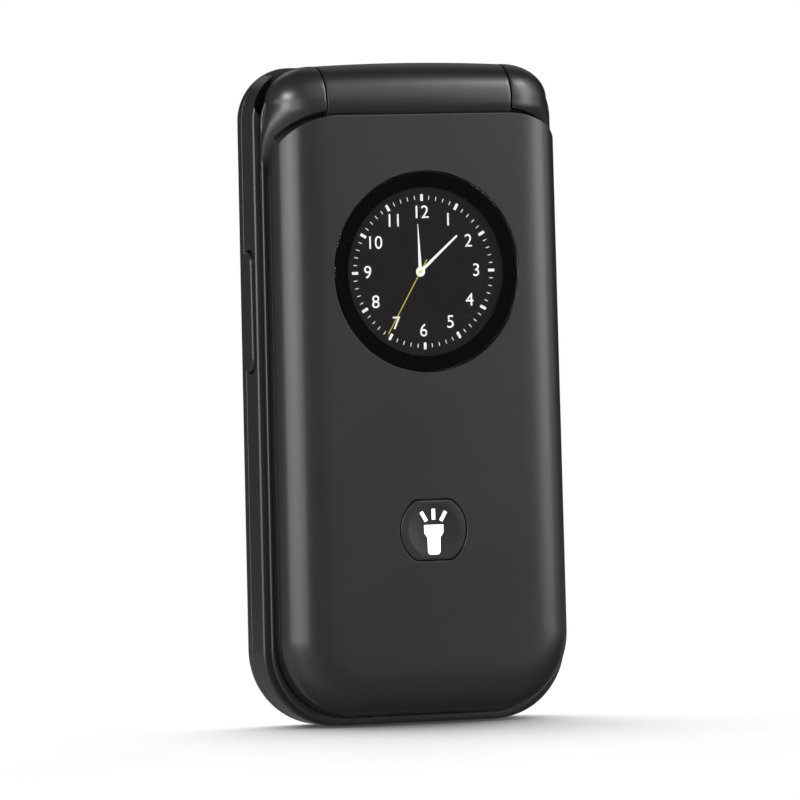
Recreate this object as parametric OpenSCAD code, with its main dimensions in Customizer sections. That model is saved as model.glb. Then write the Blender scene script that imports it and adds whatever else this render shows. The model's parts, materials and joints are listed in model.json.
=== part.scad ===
// Clamshell telephone: a lid and a base joined by a barrel hinge at the top end.
// X runs across the phone, Y from the front cover to the back, Z up its length.
// It stands closed on its bottom end at Z = 0. Depths are measured back from
// the front cover, so the lid comes first and the base behind it.

/* [Body] */
// Overall length, from the bottom end to the top of the barrel
body_h = 112; // [108:0.5:122]
// Width across the base
base_w = 56; // [55:0.5:64]
// Thickness of the lid
lid_t = 8.5; // [8.3:0.1:10]
// Thickness of the base
base_t = 10.5; // [10.3:0.1:13]
// Air between the closed lid and the base
lid_gap = 0.5; // [0.4:0.05:1]
// How much narrower each side is at the hinge end than at the bottom end
side_taper = 0.5; // [0:0.1:1.2]
// Radius of the bottom corners of the base
bottom_corner_r = 13; // [10:0.5:16]
// Radius of the top corners of the base
top_corner_r = 9; // [7:0.5:11]
// Thickness of the side walls of both housings
side_wall = 1.3; // [1:0.1:1.4]
// Width of the parting lines between shells
seam = 0.12; // [0.08:0.02:0.2]

/* [Front cover] */
// How far the cover is set in from the base's side
cover_inset = 1.8; // [1.6:0.1:2.4]
// Depth of the cover's rolled side, back to its parting line
cover_side_d = 5.5; // [5:0.1:5.8]
// How far the side's roll reaches in over the front
cover_roll = 6; // [4:0.5:7]
// Height of the frame's lip that shows below the cover
cover_lip = 1.8; // [1.4:0.1:2.4]
// Thickness of the cover
cover_wall = 1.4; // [1.1:0.1:1.6]
// Distance from the hinge axis down to the cover's top edge
cover_drop = 2.1; // [1.8:0.1:3]

/* [Lid frame] */
// How far the frame's rim stands out past the cover
rim_step = 0.8; // [0.5:0.1:1]
// Thickness of the frame's inner plate
frame_plate = 1.9; // [1.7:0.1:2.1]
// Width of the glass over the main display
screen_w = 47; // [44:0.5:48]
// Height of the glass over the main display
screen_h = 70; // [62:0.5:71]
// Height of the middle of the main display
screen_z = 54; // [53.5:0.5:54.5]
// Thickness of the glass over the main display
screen_t = 0.9; // [0.7:0.05:1]

/* [Hinge] */
// Radius of the barrel at its middle
barrel_r = 6.4; // [6.1:0.1:6.6]
// How much the barrel thins towards its ends
barrel_crown = 0.4; // [0:0.1:0.5]
// Length of the barrel
barrel_len = 33.7; // [31:0.1:35]
// Gap between the barrel and each knuckle
barrel_gap = 0.3; // [0.2:0.05:0.5]
// Angle below the axis at which each knuckle's front runs straight down into the rim
elbow_angle = 32; // [28:1:40]
// Gap between each knuckle and the cover's side
elbow_gap = 0.4; // [0.3:0.05:0.5]
// Gap between each knuckle and the cover's top edge
elbow_gap_top = 0.9; // [0.6:0.05:1.1]
// Depth of the hinge axis behind the front
hinge_d = 7.3; // [7.2:0.05:7.5]
// Radial clearance of the base's pockets round the knuckles
pocket_clear = 0.5; // [0.4:0.05:0.7]
// Diameter of the spring cartridge in the barrel
cartridge_dia = 7; // [6:0.1:7.4]
// Length of the spring cartridge
cartridge_len = 17; // [14:0.5:18]
// Diameter of the hollow hinge pin
pin_dia = 4; // [3.4:0.1:4.4]
// Radial running clearance of the hinge pins
pin_fit = 0.05; // [0.02:0.01:0.1]

/* [Clock window] */
// Diameter of the round glass
window_dia = 34; // [32:0.5:36]
// Height of the middle of the round glass
window_z = 76.5; // [75:0.5:78]
// Thickness of the round glass
window_t = 1; // [0.8:0.1:1.1]
// Diameter of the opening that the display shows through
dial_dia = 28.5; // [26:0.5:29.5]
// Diameter of the round display module
dial_module_dia = 31.6; // [31:0.2:33]

/* [Torch key] */
// Width of the torch key
torch_w = 12; // [11:0.5:14]
// Height of the torch key across its flats
torch_h = 10.1; // [9:0.1:10.6]
// Height of the middle of the torch key
torch_z = 32.8; // [30:0.5:36]
// Radius where the torch key's flats meet its round sides
torch_corner_r = 1.5; // [0.8:0.1:2.4]

/* [Keypad] */
// Distance between the columns of number keys
key_pitch_x = 16.2; // [15.5:0.1:16.6]
// Distance between the rows of number keys
key_pitch_z = 12.4; // [12:0.1:12.7]
// Width of a number key
key_w = 14; // [12:0.2:14.4]
// Height of a number key
key_h = 10; // [8:0.2:10.2]
// Height of the middle of the lowest row
key_row_z = 18; // [17.5:0.1:18.4]
// Height of the middle of the navigation ring
nav_z = 77.5; // [77:0.1:78]
// Diameter of the navigation ring
nav_dia = 20; // [18:0.5:21]
// Diameter of the key inside the ring
ok_dia = 9; // [8:0.5:10]
// Travel of every key
key_travel = 0.3; // [0.2:0.02:0.32]

/* [Volume rocker] */
// Length of the slot in the left side
rocker_len = 21; // [18:0.5:23]
// Width of the slot in the left side
rocker_w = 5.4; // [4.6:0.1:5.4]
// Height of the middle of the slot
rocker_z = 70.4; // [69:0.2:72]
// How far the rocker stands out of the side
rocker_proud = 0.6; // [0.4:0.1:1]

/* [Battery and back] */
// Width of the battery
battery_w = 43.6; // [38:0.2:44]
// Height of the battery
battery_h = 58; // [50:0.5:58.5]
// Width of the removable battery cover
back_panel_w = 47; // [46.6:0.2:47.4]
// Thickness of the removable battery cover
back_panel_t = 1.3; // [1.1:0.1:1.4]
// How far the back edge's roll reaches in over the back
back_roll = 4; // [3:0.25:4]
// Depth of the back edge's roll
back_roll_d = 4.8; // [4:0.1:5]

/* [Hidden] */
$fn = 48;
corner_steps = 10;     // pieces in each rounded corner
roll_steps = 8;        // pieces in each rolled edge
clear = 0.1;           // clearance round a piece that is fixed in a seat
slide = 0.2;           // clearance round a piece that moves
body_t = lid_t + lid_gap + base_t;
base_d = lid_t + lid_gap;             // depth of the base's front face
half_w = base_w / 2;
barrel_half = barrel_len / 2;
knuckle_x = barrel_half + barrel_gap; // inner face of each knuckle
hinge_z = body_h - barrel_r;
knuckle_r = barrel_r - barrel_crown;
hinge_y = hinge_d - body_t / 2;

// Keys
key_air = key_travel + 0.05;          // air under a key at rest
key_lip = 0.6;                        // how far a key's flange reaches past its cap
key_corner_r = 2;
dome_r = 1.6;                         // nub over a dome
side_key_w = 11;
side_key_x = key_pitch_x + key_w / 2 + 0.5 - side_key_w / 2;
soft_key = [nav_z + 9.7, 6.4];        // height of the middle, and the key's own height
call_key = [nav_z - 6.3, 8.4];
number_keys = [for (row = [0:3]) for (col = [-1:1])
    [["key_star", "key_0", "key_hash", "key_7", "key_8", "key_9",
      "key_4", "key_5", "key_6", "key_1", "key_2", "key_3"][3 * row + col + 1],
     col * key_pitch_x, key_row_z + row * key_pitch_z, [key_w, key_h]]];
side_keys = [
    ["key_soft_left", -side_key_x, soft_key[0], [side_key_w, soft_key[1]]],
    ["key_soft_right", side_key_x, soft_key[0], [side_key_w, soft_key[1]]],
    ["key_call", -side_key_x, call_key[0], [side_key_w, call_key[1]]],
    ["key_end", side_key_x, call_key[0], [side_key_w, call_key[1]]]];
keys_z = [key_row_z - key_h / 2, soft_key[0] + soft_key[1] / 2];

// Depths of what lies in the base, from the front
seam_d = base_d + 5;                  // parting line between the base's housings
deck_t = 1.2;
deck_recess = 0.4;
key_top = base_d + 0.1;
flange_d = base_d + deck_t + clear;
flange_t = 0.3;
nub_t = 0.15;
mat_d = flange_d + flange_t + nub_t + key_air;
mat_t = 0.3;
dome_t = 0.2;
board_d = mat_d + mat_t + dome_t;
board_t = 0.8;
board_back = board_d + board_t;
floor_d = board_back + 1.1;           // floor of the battery bay
floor_t = 0.6;
bay_d = floor_d + floor_t;
panel_d = body_t - back_panel_t;
battery_t = panel_d - bay_d - 3 * clear;
rear_wall = 1.4;

// Depths of what lies in the lid, from the front
plate_d = lid_t - frame_plate;
screen_d = lid_t - screen_t - clear;
lcd_t = 2.2;
lcd_d = screen_d - clear - lcd_t;
lid_board_t = 0.8;
lid_board_d = lcd_d - clear - lid_board_t;
ring_t = 0.15;
ledge_t = 0.85;
dial_d = window_t + ring_t + ledge_t + clear;
dial_t = 1.6;

// Outlines, seen from the front
cover_half = half_w - cover_inset;
rim_half = cover_half + rim_step;
knuckle_len = half_width_at(rim_half, hinge_z) - 0.4 - knuckle_x;
cover_top = hinge_z - cover_drop;
cover_corner = [8.5, 7];
rim_top = hinge_z + 5.2;              // top of the rim's outline, inside the knuckles
rim_corner_r = 9;
rim_d = cover_side_d + seam;          // front of the rim
rim_turn_r = 2.5;                     // room for the rim's corners as they turn on the axis
pocket_x = rim_half - 0.1;            // end of the pockets, inside the base's side walls
web_rise = 3;                         // height of the barrel's web above the hinge axis
blade_x = knuckle_x + knuckle_len - 4.1;        // inner end of the base's edge that wraps each knuckle
passage_x = knuckle_x + knuckle_len - 1.3;      // outer end of the cover's way past the base
base_top = body_h - 0.4;
deck_w = base_w - 6.4;
deck_z = [keys_z[0] - 3.6, keys_z[1] + 2.8];
board_w = base_w - 9.2;
board_z = [3, hinge_z - 9.6];

// Screws
screw_r = 0.75;
head_r = 1.5;
boss_r = 1.7;
lid_boss_r = 1.9;
lid_screw_x = cover_half - 4.9;
lid_screw_z = [10, cover_top - 10.9];
base_screw_x = board_w / 2 - 2.9;
base_screw_z = [keys_z[0] - key_lip - slide - boss_r, nav_z + 2.7];

// Bays in the back, from the bottom up
bay_z = [base_screw_z[0] - head_r - 0.4, base_screw_z[1] + head_r + 2.3];
battery_z = bay_z[0] + 4.4;           // bottom of the battery
panel_z = [bay_z[0] - 3.1, bay_z[1] + 1.2];
panel_corner_r = 8.5;
rail_t = 0.3;                         // ribs on the battery cover, beside the battery
upper_bay_h = 10;
upper_bay_z = [bay_z[1] + 2.4, bay_z[1] + 2.4 + upper_bay_h];
upper_bay_half = half_w - 5;
lower_bay_half = half_w - 8;
lower_bay_wall = 2.4;
notch_r = 2.6;                        // fingernail notch at the top of the battery cover
notch_d = 1.6;

// Pieces in the base
contact_x = [6, 15];
contact_z = [bay_z[0] + 0.4, battery_z - clear];
contact_t = 0.3;
contact_w = 1;
contact_pitch = 2.6;
can_t = 0.95;
cans = [[[-16, 4], [44, 68]], [[6, 17], [50, 68]], [[-16, -2], [20, 40]]];   // X and Z of each shield can
antenna_x = [2 - lower_bay_half, 13 - lower_bay_half];
antenna_t = 3;
sim_w = 14;
sim_h = 10.8;
sim_apart = 5;
sim_x = [-sim_w - sim_apart / 2, sim_apart / 2];         // left edge of each socket
sim_z = bay_z[1] - 0.8 - sim_h;
sim_mouth = [sim_w - 2, 0.9];          // opening for the card
usb_mouth = [8.34, 2.56];             // inside of the socket's shell
usb_wall = 0.32;
usb_w = usb_mouth.x + 2 * usb_wall;
usb_h = usb_mouth.y + 2 * usb_wall;
usb_tongue = 6.69;
usb_inset = 0.4;                      // how far the socket's mouth lies inside the bottom
usb_len = bay_z[0] - 1.2 - usb_inset;
usb_d = board_back + usb_h / 2;
upper_z = (upper_bay_z[0] + upper_bay_z[1]) / 2;
speaker_x = 11 - upper_bay_half;
speaker_size = [16, 9.2];
speaker_mouth = [12, 7];
motor_r = 4;
motor_t = 2;
camera_x = upper_bay_half - 9.6;
camera_w = 7.4;
lens_r = 2.9;
led_x = camera_x - 7.4;
led_w = 3.5;
window_sheet = 0.75;                  // sheet over the camera and the lamp
window_size = [18, 9];
mic_x = -8;
mic_z = 5.4;

// Volume rocker and its switches
rocker_d = base_d + 3.1;              // depth of the middle of the slot
rocker_x = -half_width_at(half_w, rocker_z);    // outer face of the wall
rocker_gap = 0.4;                     // air round the rocker in its slot, and inside the wall
rocker_flange_t = 0.6;
rocker_nub = 0.25;
rocker_air = 0.25;                    // air between the rocker and each switch
rocker_press_z = 6.5;                 // from the middle to each switch

// Hinge pieces
cam_shaft_r = 1.5;
cam_len = 3.6;
cam_flats = 5.2;
pin_reach = 6;                        // how far the pin enters the knuckle
pin_end = -2;                         // end of the pin's bore in the barrel
pin_wall = 0.6;
flex_r = 4.6;
flex_w = 7;
flex_t = 0.25;
flex_turns = 2;

// Pieces in the lid
screen_r = 2.4;
lcd_w = screen_w - 4.3;
lcd_h = screen_h - 9.7;
earpiece_z = hinge_z - 11;
earpiece_size = [12, 4];
earpiece_t = 1.3;
lid_board_z = [26, cover_top - 9.5];
lid_board_w = 2 * (lid_screw_x - lid_boss_r - 0.4);
torch_lip = 0.8;
torch_flange_d = cover_wall + clear;
torch_flange_t = 0.6;
torch_stem_r = 1.8;
torch_switch = [5.2, 1];               // side and height of its housing
torch_plunger = 0.3;
torch_foot = lid_board_d - torch_switch[1] - torch_plunger - key_air;       // end of the key's stem at rest
bumper_rise = 0.15;
magnet_w = 8;
magnet_t = 1.4;
magnet_z = [5.4, 8.4];

shell_black = "#242426";
frame_black = "#1b1b1d";
key_grey = "#3a3a3e";
steel = "#b9bbbe";
gold = "#c9a24b";
board_green = "#1f4a33";
dark_glass = "#0b0b0d";

// ---------------------------------------------------------------- helpers

// A plane outline, drawn in X and Z, given a depth
module plate(d0, d1) {
    translate([0, d1 - body_t / 2, 0]) rotate([90, 0, 0]) linear_extrude(d1 - d0) children();
}

// An outline drawn in depth and Z, run across the phone
module bar(x0, x1) {
    translate([x0, -body_t / 2, 0]) rotate([90, 0, 90]) linear_extrude(x1 - x0) children();
}

// A round post or hole along the depth
module post(x, z, r, d0, d1) {
    translate([x, d0 - body_t / 2, z]) rotate([-90, 0, 0]) cylinder(r = r, h = d1 - d0);
}

// A shaft or hole on the hinge axis
module shaft(r, x0, x1) {
    translate([x0, hinge_y, hinge_z]) rotate([0, 90, 0]) cylinder(r = r, h = x1 - x0);
}

// A rounded rectangle about the origin
module slab(size, r) {
    square([size.x - 2 * r, size.y], center = true);
    square([size.x, size.y - 2 * r], center = true);
    for (x = [-1, 1]) for (z = [-1, 1]) translate([x * (size.x / 2 - r), z * (size.y / 2 - r)]) circle(r);
}

// A box from one corner to the other, in X, depth and Z
module block(x, d, z) {
    translate([x[0], d[0] - body_t / 2, z[0]]) cube([x[1] - x[0], d[1] - d[0], z[1] - z[0]]);
}

function narrowed(p) = [p.x * (1 - side_taper / half_w * p.y / body_h), p.y];
function half_width_at(hw, z) = narrowed([hw, z]).x;

// Points of one rounded corner: its centre, radii and starting angle
function corner(c, r, from) = [for (i = [0:corner_steps])
    let (a = from + 90 * i / corner_steps) [c.x + r.x * cos(a), c.y + r.y * sin(a)]];

// A plate outline from its half width, bottom, top, bottom radius and top radii
function outline(hw, z0, z1, rb, rt) = [for (p = concat(
    corner([hw - rt.x, z1 - rt.y], rt, 0),
    corner([-hw + rt.x, z1 - rt.y], rt, 90),
    corner([-hw + rb, z0 + rb], [rb, rb], 180),
    corner([hw - rb, z0 + rb], [rb, rb], 270))) narrowed(p)];

// Triangles that join rings of n points each, and close both ends
function skin(n, rings) = concat(
    [[for (i = [n - 1:-1:0]) i]],
    [for (k = [0:rings - 2]) for (i = [0:n - 1]) let (j = (i + 1) % n)
        [k * n + i, k * n + j, (k + 1) * n + j]],
    [for (k = [0:rings - 2]) for (i = [0:n - 1]) let (j = (i + 1) % n)
        [k * n + i, (k + 1) * n + j, (k + 1) * n + i]],
    [[for (i = [0:n - 1]) (rings - 1) * n + i]]);

// A solid through outlines at rising depths; each ring is [depth, outline]
module loft(rings) {
    n = len(rings[0][1]);
    polyhedron([for (r = rings) for (p = r[1]) [p.x, r[0] - body_t / 2, p.y]], skin(n, len(rings)));
}

// ---------------------------------------------------------------- hinge geometry

// Radius of a knuckle: it starts as wide as the barrel's end and closes to a rounded nose
function knuckle_radius(x) = let (u = (x - knuckle_x) / knuckle_len)
    knuckle_r * pow(max(1 - pow(u, 1.8), 0), 0.6);

// Radius of the pocket that the base leaves round a knuckle and the turn of the lid's rim
function pocket_radius(x) = max(knuckle_radius(min(x, knuckle_x + knuckle_len)) + pocket_clear, rim_turn_r);

// A solid of revolution on the hinge axis, from points of radius and X
module turned(points) {
    translate([0, hinge_y, hinge_z]) rotate([0, 90, 0]) rotate_extrude() polygon(points);
}

module both_sides() {
    for (s = [0, 1]) mirror([s, 0, 0]) children();
}

module knuckle() {
    turned(concat([[0, knuckle_x]],
        [for (i = [0:9]) let (x = knuckle_x + knuckle_len * sin(9 * i)) [knuckle_radius(x), x]],
        [[0, knuckle_x + knuckle_len]]));
}

// The front of a knuckle and of the elbow below it, in depth and Z: up the straight run, round the knuckle
function elbow_section(x) = let (
    r = knuckle_radius(x) - 0.02,
    leave = [hinge_d - r * cos(elbow_angle), hinge_z - r * sin(elbow_angle)],
    run = max((rim_d + 0.4 - leave.x) / sin(elbow_angle), 0.5),
    foot = leave + run * [sin(elbow_angle), -cos(elbow_angle)]) concat(
        [foot],
        [for (i = [0:5]) let (a = -elbow_angle + (elbow_angle + 30) * i / 5)
            [hinge_d - r * cos(a), hinge_z + r * sin(a)]],
        [[hinge_d, hinge_z + r * sin(30)], [hinge_d, foot.y]]);

// The elbow that carries each knuckle down into the rim
module elbow() {
    steps = 9;
    xs = [for (i = [0:steps - 1]) knuckle_x + knuckle_len * sin(90 * i / steps)];
    rings = [for (x = xs) elbow_section(x)];
    n = len(rings[0]);
    polyhedron([for (i = [0:steps - 1]) for (p = rings[i]) [xs[i], p.x - body_t / 2, p.y]], skin(n, steps));
}

// Room for the cover in front of the rim, and for the shadow gap that parts it from the elbows
module cover_room() {
    difference() {
        loft(concat([for (i = [0:roll_steps]) let (a = 90 * i / roll_steps, e = cover_roll * (1 - sin(a)) - elbow_gap)
                [cover_side_d * (1 - cos(a)) - (i == 0 ? 1 : 0),
                 outline(cover_half - e, cover_lip + e, cover_top + elbow_gap_top, bottom_corner_r - e,
                         [max(cover_corner.x - e, 2), cover_corner.y + elbow_gap_top])]],
            [[rim_d, outline(cover_half + elbow_gap, cover_lip - elbow_gap, cover_top + elbow_gap_top,
                bottom_corner_r + elbow_gap, cover_corner + [elbow_gap, elbow_gap_top])]]));
        shaft(knuckle_r - 1.6, -half_w, half_w);
    }
}

module pocket() {
    end = pocket_x;
    turned(concat([[0, barrel_half]],
        [for (i = [0:9]) let (x = knuckle_x + (end - knuckle_x) * i / 9)
            [pocket_radius(x), i == 0 ? barrel_half : x]],
        [[0, end]]));
}

module barrel() {
    turned(concat([[0, -barrel_half]],
        [for (i = [-4:4]) let (t = i / 4) [barrel_r - barrel_crown * t * t, t * barrel_half]],
        [[0, barrel_half]]));
}

// What the keypad frame gives up above its hinge web, so that the cover's edge can pass
module cover_passage() {
    top = [base_d - 1, hinge_z + web_rise];
    bar(-blade_x, blade_x) translate(top) square([seam_d - base_d + 2, 20]);
    both_sides() bar(blade_x - 0.01, passage_x) difference() {
        translate(top) square([seam_d - base_d + 2, 20]);
        translate([hinge_d, hinge_z]) circle(barrel_r - 0.1);
    }
}

// ---------------------------------------------------------------- base shells

function base_outline(inset) = outline(half_w - inset, inset, base_top - inset,
    bottom_corner_r - inset, [top_corner_r - inset, top_corner_r - inset]);

module rocker_slot(len, w, x0, x1) {
    bar(x0, x1) translate([rocker_d, rocker_z]) slab([w, len], w / 2 - 0.01);
}

// The room for the rocker's flange and for its switch, inside the wall
module rocker_room() {
    rocker_slot(rocker_len, rocker_w, rocker_x - 1, rocker_x + side_wall + 1);
    block([rocker_x + side_wall, -board_w / 2 + clear], [rocker_d - 2.2, rocker_d + 2.2],
          [rocker_z - rocker_len / 2 - 2, rocker_z + rocker_len / 2 + 2]);
}

module usb_opening(z1) {
    translate([0, usb_d - body_t / 2, -1]) linear_extrude(z1 + 1) slab([usb_w + 0.6, usb_h + 0.6], usb_h / 2 + 0.2);
}

module base_cavity(d0, d1) {
    plate(d0, d1) polygon(outline(half_w - side_wall, side_wall, hinge_z - barrel_r - 2,
        bottom_corner_r - side_wall, [2, 2]));
}

module key_outline(k, grow) {
    translate([k[1], k[2]]) slab([k[3].x + 2 * grow, k[3].y + 2 * grow], key_corner_r + grow);
}

module keypad_frame() {
    color(frame_black) difference() {
        union() {
            difference() {
                loft([[base_d, base_outline(0.5)], [base_d + 0.18, base_outline(0.15)],
                      [base_d + 0.5, base_outline(0)], [seam_d, base_outline(0)]]);
                both_sides() pocket();
                cover_passage();
            }
            barrel();
        }
        difference() {
            base_cavity(base_d + deck_t, seam_d + 1);
            for (x = [-1, 1]) for (z = base_screw_z)
                post(x * base_screw_x, z, boss_r, base_d, board_d - clear / 2);
        }
        plate(base_d - 1, base_d + deck_recess) translate([0, (deck_z[0] + deck_z[1]) / 2])
            slab([deck_w, deck_z[1] - deck_z[0]], 5);
        plate(base_d - 1, base_d + deck_t + 1) {
            for (k = concat(number_keys, side_keys)) key_outline(k, slide);
            translate([0, nav_z]) circle(nav_dia / 2 + slide);
        }
        for (x = [-1, 1]) for (z = base_screw_z)
            post(x * base_screw_x, z, screw_r + clear, base_d + 0.9, seam_d);
        post(mic_x, mic_z, 0.4, base_d - 1, seam_d);
        rocker_room();
        usb_opening(side_wall + 1);
        shaft(cartridge_dia / 2 + pin_fit, barrel_half - cartridge_len, barrel_half + 1);
        shaft(pin_dia / 2 + pin_fit, -barrel_half - 1, pin_end);
        shaft(flex_r + slide, -barrel_half - 1, -barrel_half + flex_w + 2 * barrel_gap);
    }
}

function rear_ring(a) = [body_t - back_roll_d * (1 - sin(a)), base_outline(back_roll * (1 - cos(a)))];

// The battery cover's outline, which keeps to the flat of the back
module panel_outline(inset) {
    polygon(outline(back_panel_w / 2 - inset, panel_z[0] + inset, panel_z[1] - inset,
        panel_corner_r - inset, [3, 3]));
}

module base_housing() {
    color(shell_black) difference() {
        union() {
            difference() {
                loft(concat([[seam_d + seam, base_outline(0)]],
                    [for (i = [0:roll_steps]) rear_ring(90 * i / roll_steps)]));
                both_sides() pocket();
            }
            bay_floor();
            for (x = [-1, 1]) for (z = base_screw_z)
                post(x * base_screw_x, z, boss_r, board_back + clear / 2, floor_d + 0.1);
        }
        plate(panel_d, body_t + 1) panel_outline(0);
        plate(bay_d, body_t) translate([0, (bay_z[0] + bay_z[1]) / 2])
            slab([battery_w + 1, bay_z[1] - bay_z[0]], 2);
        block([-upper_bay_half, upper_bay_half], [seam_d - 1, body_t - rear_wall], upper_bay_z);
        plate(seam_d - 1, body_t - rear_wall - 1) intersection() {
            polygon(base_outline(lower_bay_wall));
            translate([-lower_bay_half, 0]) square([2 * lower_bay_half, bay_z[0] - 1]);
        }
        for (x = [-1, 1]) for (z = base_screw_z) {
            post(x * base_screw_x, z, screw_r + clear, board_d, body_t);
            post(x * base_screw_x, z, head_r + clear, bay_d, body_t);
        }
        for (x = sim_x) block([x - clear, x + sim_w + clear], [floor_d - 1, bay_d + 1],
                              [sim_z - clear, sim_z + sim_h + clear]);
        block([contact_x[0] - clear, contact_x[1] + clear], [floor_d - 1, bay_d + 1],
              [contact_z[0] - clear, contact_z[1] + clear]);
        for (i = [-2:2]) plate(body_t - rear_wall - 1, body_t + 1)
            translate([speaker_x + 2 * i, upper_z]) slab([0.9, 6.4], 0.44);
        plate(body_t - window_sheet - clear, body_t + 1) translate([(camera_x + led_x) / 2, upper_z])
            slab([window_size.x + 2 * clear, window_size.y + 2 * clear], window_size.y / 2);
        post(camera_x, upper_z, lens_r + slide, body_t - rear_wall - 1, body_t);
        post(led_x, upper_z, led_w / 2, body_t - rear_wall - 1, body_t);
        translate([0, body_t / 2 + notch_r - notch_d, panel_z[1]]) sphere(r = notch_r);
        rocker_room();
        usb_opening(bay_z[0] - 1);
    }
}

// The bay's floor, which reaches forward inside the keypad frame
module bay_floor() {
    plate(floor_d, seam_d + 0.5) polygon(outline(half_w - side_wall - clear, side_wall + clear,
        upper_bay_z[0], bottom_corner_r - side_wall - clear, [2, 2]));
}

module battery_cover() {
    rail_x = battery_w / 2 + clear + rail_t / 2;
    color(shell_black) {
        plate(panel_d + clear / 2, body_t) panel_outline(clear);
        for (x = [-1, 1]) block([x * rail_x - rail_t / 2, x * rail_x + rail_t / 2], [panel_d - 0.9, panel_d + 0.2],
            [bay_z[0] + 8, bay_z[1] - 12]);
    }
}

// ---------------------------------------------------------------- keypad

module mat_outline(inset) {
    difference() {
        translate([0, (keys_z[0] + keys_z[1]) / 2])
            slab([board_w - 0.8 - 2 * inset, keys_z[1] - keys_z[0] + 2 * (key_lip - inset)], 3);
        for (x = [-1, 1]) translate([x * base_screw_x, base_screw_z[1]]) circle(boss_r + 0.3);
    }
}

module keypad_mat() {
    color("#4a4a4e") plate(mat_d, mat_d + mat_t) mat_outline(0);
}

module dome_sheet() {
    color(steel) plate(mat_d + mat_t, board_d) mat_outline(0.4);
}

// One key: crowned cap, retaining flange and the nub over its dome
module key_cap(k) {
    color(key_grey) {
        intersection() {
            plate(key_top, flange_d + 0.01) key_outline(k, 0);
            translate([k[1], key_top - body_t / 2 + 40, k[2]]) rotate([0, 90, 0])
                cylinder(r = 40, h = 40, center = true, $fn = 360);
        }
        plate(flange_d, flange_d + flange_t) key_outline(k, key_lip);
        post(k[1], k[2], dome_r, flange_d + flange_t - 0.01, flange_d + flange_t + nub_t);
    }
}

module nav_ring() {
    nub_x = nav_dia / 2 - 2;
    color(key_grey) difference() {
        union() {
            post(0, nav_z, nav_dia / 2, key_top + 0.1, flange_d + 0.01);
            post(0, nav_z, nav_dia / 2 + key_lip, flange_d, flange_d + flange_t);
            for (a = [0:90:270]) post(nub_x * cos(a), nav_z + nub_x * sin(a), 1.2,
                flange_d + flange_t - 0.01, flange_d + flange_t + nub_t);
        }
        post(0, nav_z, ok_dia / 2 + slide, base_d - 1, mat_d);
        post(0, nav_z, ok_dia / 2 + slide + key_lip, flange_d - key_travel - clear, mat_d);
    }
}

module key_ok() {
    color(key_grey) {
        post(0, nav_z, ok_dia / 2, key_top, flange_d + 0.01);
        post(0, nav_z, ok_dia / 2 + key_lip - slide, flange_d, flange_d + flange_t);
        post(0, nav_z, dome_r, flange_d + flange_t - 0.01, flange_d + flange_t + nub_t);
    }
}

// ---------------------------------------------------------------- inside the base

module main_board() {
    color(board_green) plate(board_d, board_back) difference() {
        translate([0, (board_z[0] + board_z[1]) / 2]) slab([board_w, board_z[1] - board_z[0]], 4);
        for (x = [-1, 1]) for (z = base_screw_z) translate([x * base_screw_x, z]) circle(screw_r + 0.2);
    }
}

module shield_cans() {
    color(steel) for (can = cans) block(can[0], [board_back, board_back + can_t], can[1]);
}

module battery() {
    color("#2f4f7a") plate(bay_d + clear, bay_d + clear + battery_t)
        translate([0, battery_z + battery_h / 2]) slab([battery_w, battery_h], 1.5);
}

module battery_contacts() {
    color("#18181a") block(contact_x, [board_back, bay_d + 2.2], contact_z);
    color(gold) for (i = [0:2]) let (x = contact_x[0] + 1.4 + contact_pitch * i) block([x, x + contact_w],
        [bay_d + 2.2, bay_d + 2.2 + contact_t], [contact_z[1] - 2.4, contact_z[1]]);
}

module sim_sockets() {
    color(steel) for (x = sim_x) difference() {
        block([x, x + sim_w], [board_back, bay_d], [sim_z, sim_z + sim_h]);
        block([x + 1, x + 1 + sim_mouth.x], [bay_d - 0.3 - sim_mouth.y, bay_d - 0.3], [sim_z - 1, sim_z + sim_h - 1]);
    }
}

module usb_socket() {
    color(steel) difference() {
        translate([0, usb_d - body_t / 2, usb_inset]) linear_extrude(usb_len)
            slab([usb_w, usb_h], usb_h / 2 - 0.02);
        translate([0, usb_d - body_t / 2, -0.1]) linear_extrude(usb_len - 0.7)
            slab(usb_mouth, usb_mouth.y / 2 - 0.02);
    }
    color("#18181a") block([-usb_tongue / 2, usb_tongue / 2], [usb_d - 0.35, usb_d + 0.35], [usb_inset + 0.5, usb_len]);
}

module antenna() {
    z = [board_z[0] + 0.4, bay_z[0] - 1.6];
    top = board_back + antenna_t;
    color("#18181a") block(antenna_x, [board_back, top], z);
    color(gold) block([antenna_x[0] + 0.6, antenna_x[1] - 0.6], [top, top + 0.1], [z[0] + 0.4, z[1] - 0.4]);
}

module loudspeaker() {
    color("#18181a") difference() {
        plate(board_back + motor_t + slide, body_t - rear_wall - clear) translate([speaker_x, upper_z])
            slab(speaker_size, 1);
        plate(body_t - rear_wall - 0.8, body_t) translate([speaker_x, upper_z]) slab(speaker_mouth, 3);
    }
}

module microphone() {
    color(steel) post(mic_x, mic_z, 1.9, board_d - 1.3, board_d);
}

module vibration_motor() {
    color(steel) post(speaker_x, upper_z, motor_r, board_back, board_back + motor_t);
}

module camera_module() {
    color("#18181a") {
        plate(board_back, body_t - rear_wall - clear) translate([camera_x, upper_z])
            square(camera_w, center = true);
        post(camera_x, upper_z, lens_r, body_t - rear_wall - clear - 0.01, body_t - window_sheet - 2 * clear);
    }
}

module camera_window() {
    color(dark_glass) plate(body_t - window_sheet, body_t)
        translate([(camera_x + led_x) / 2, upper_z]) slab(window_size, window_size.y / 2 - clear);
}

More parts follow.
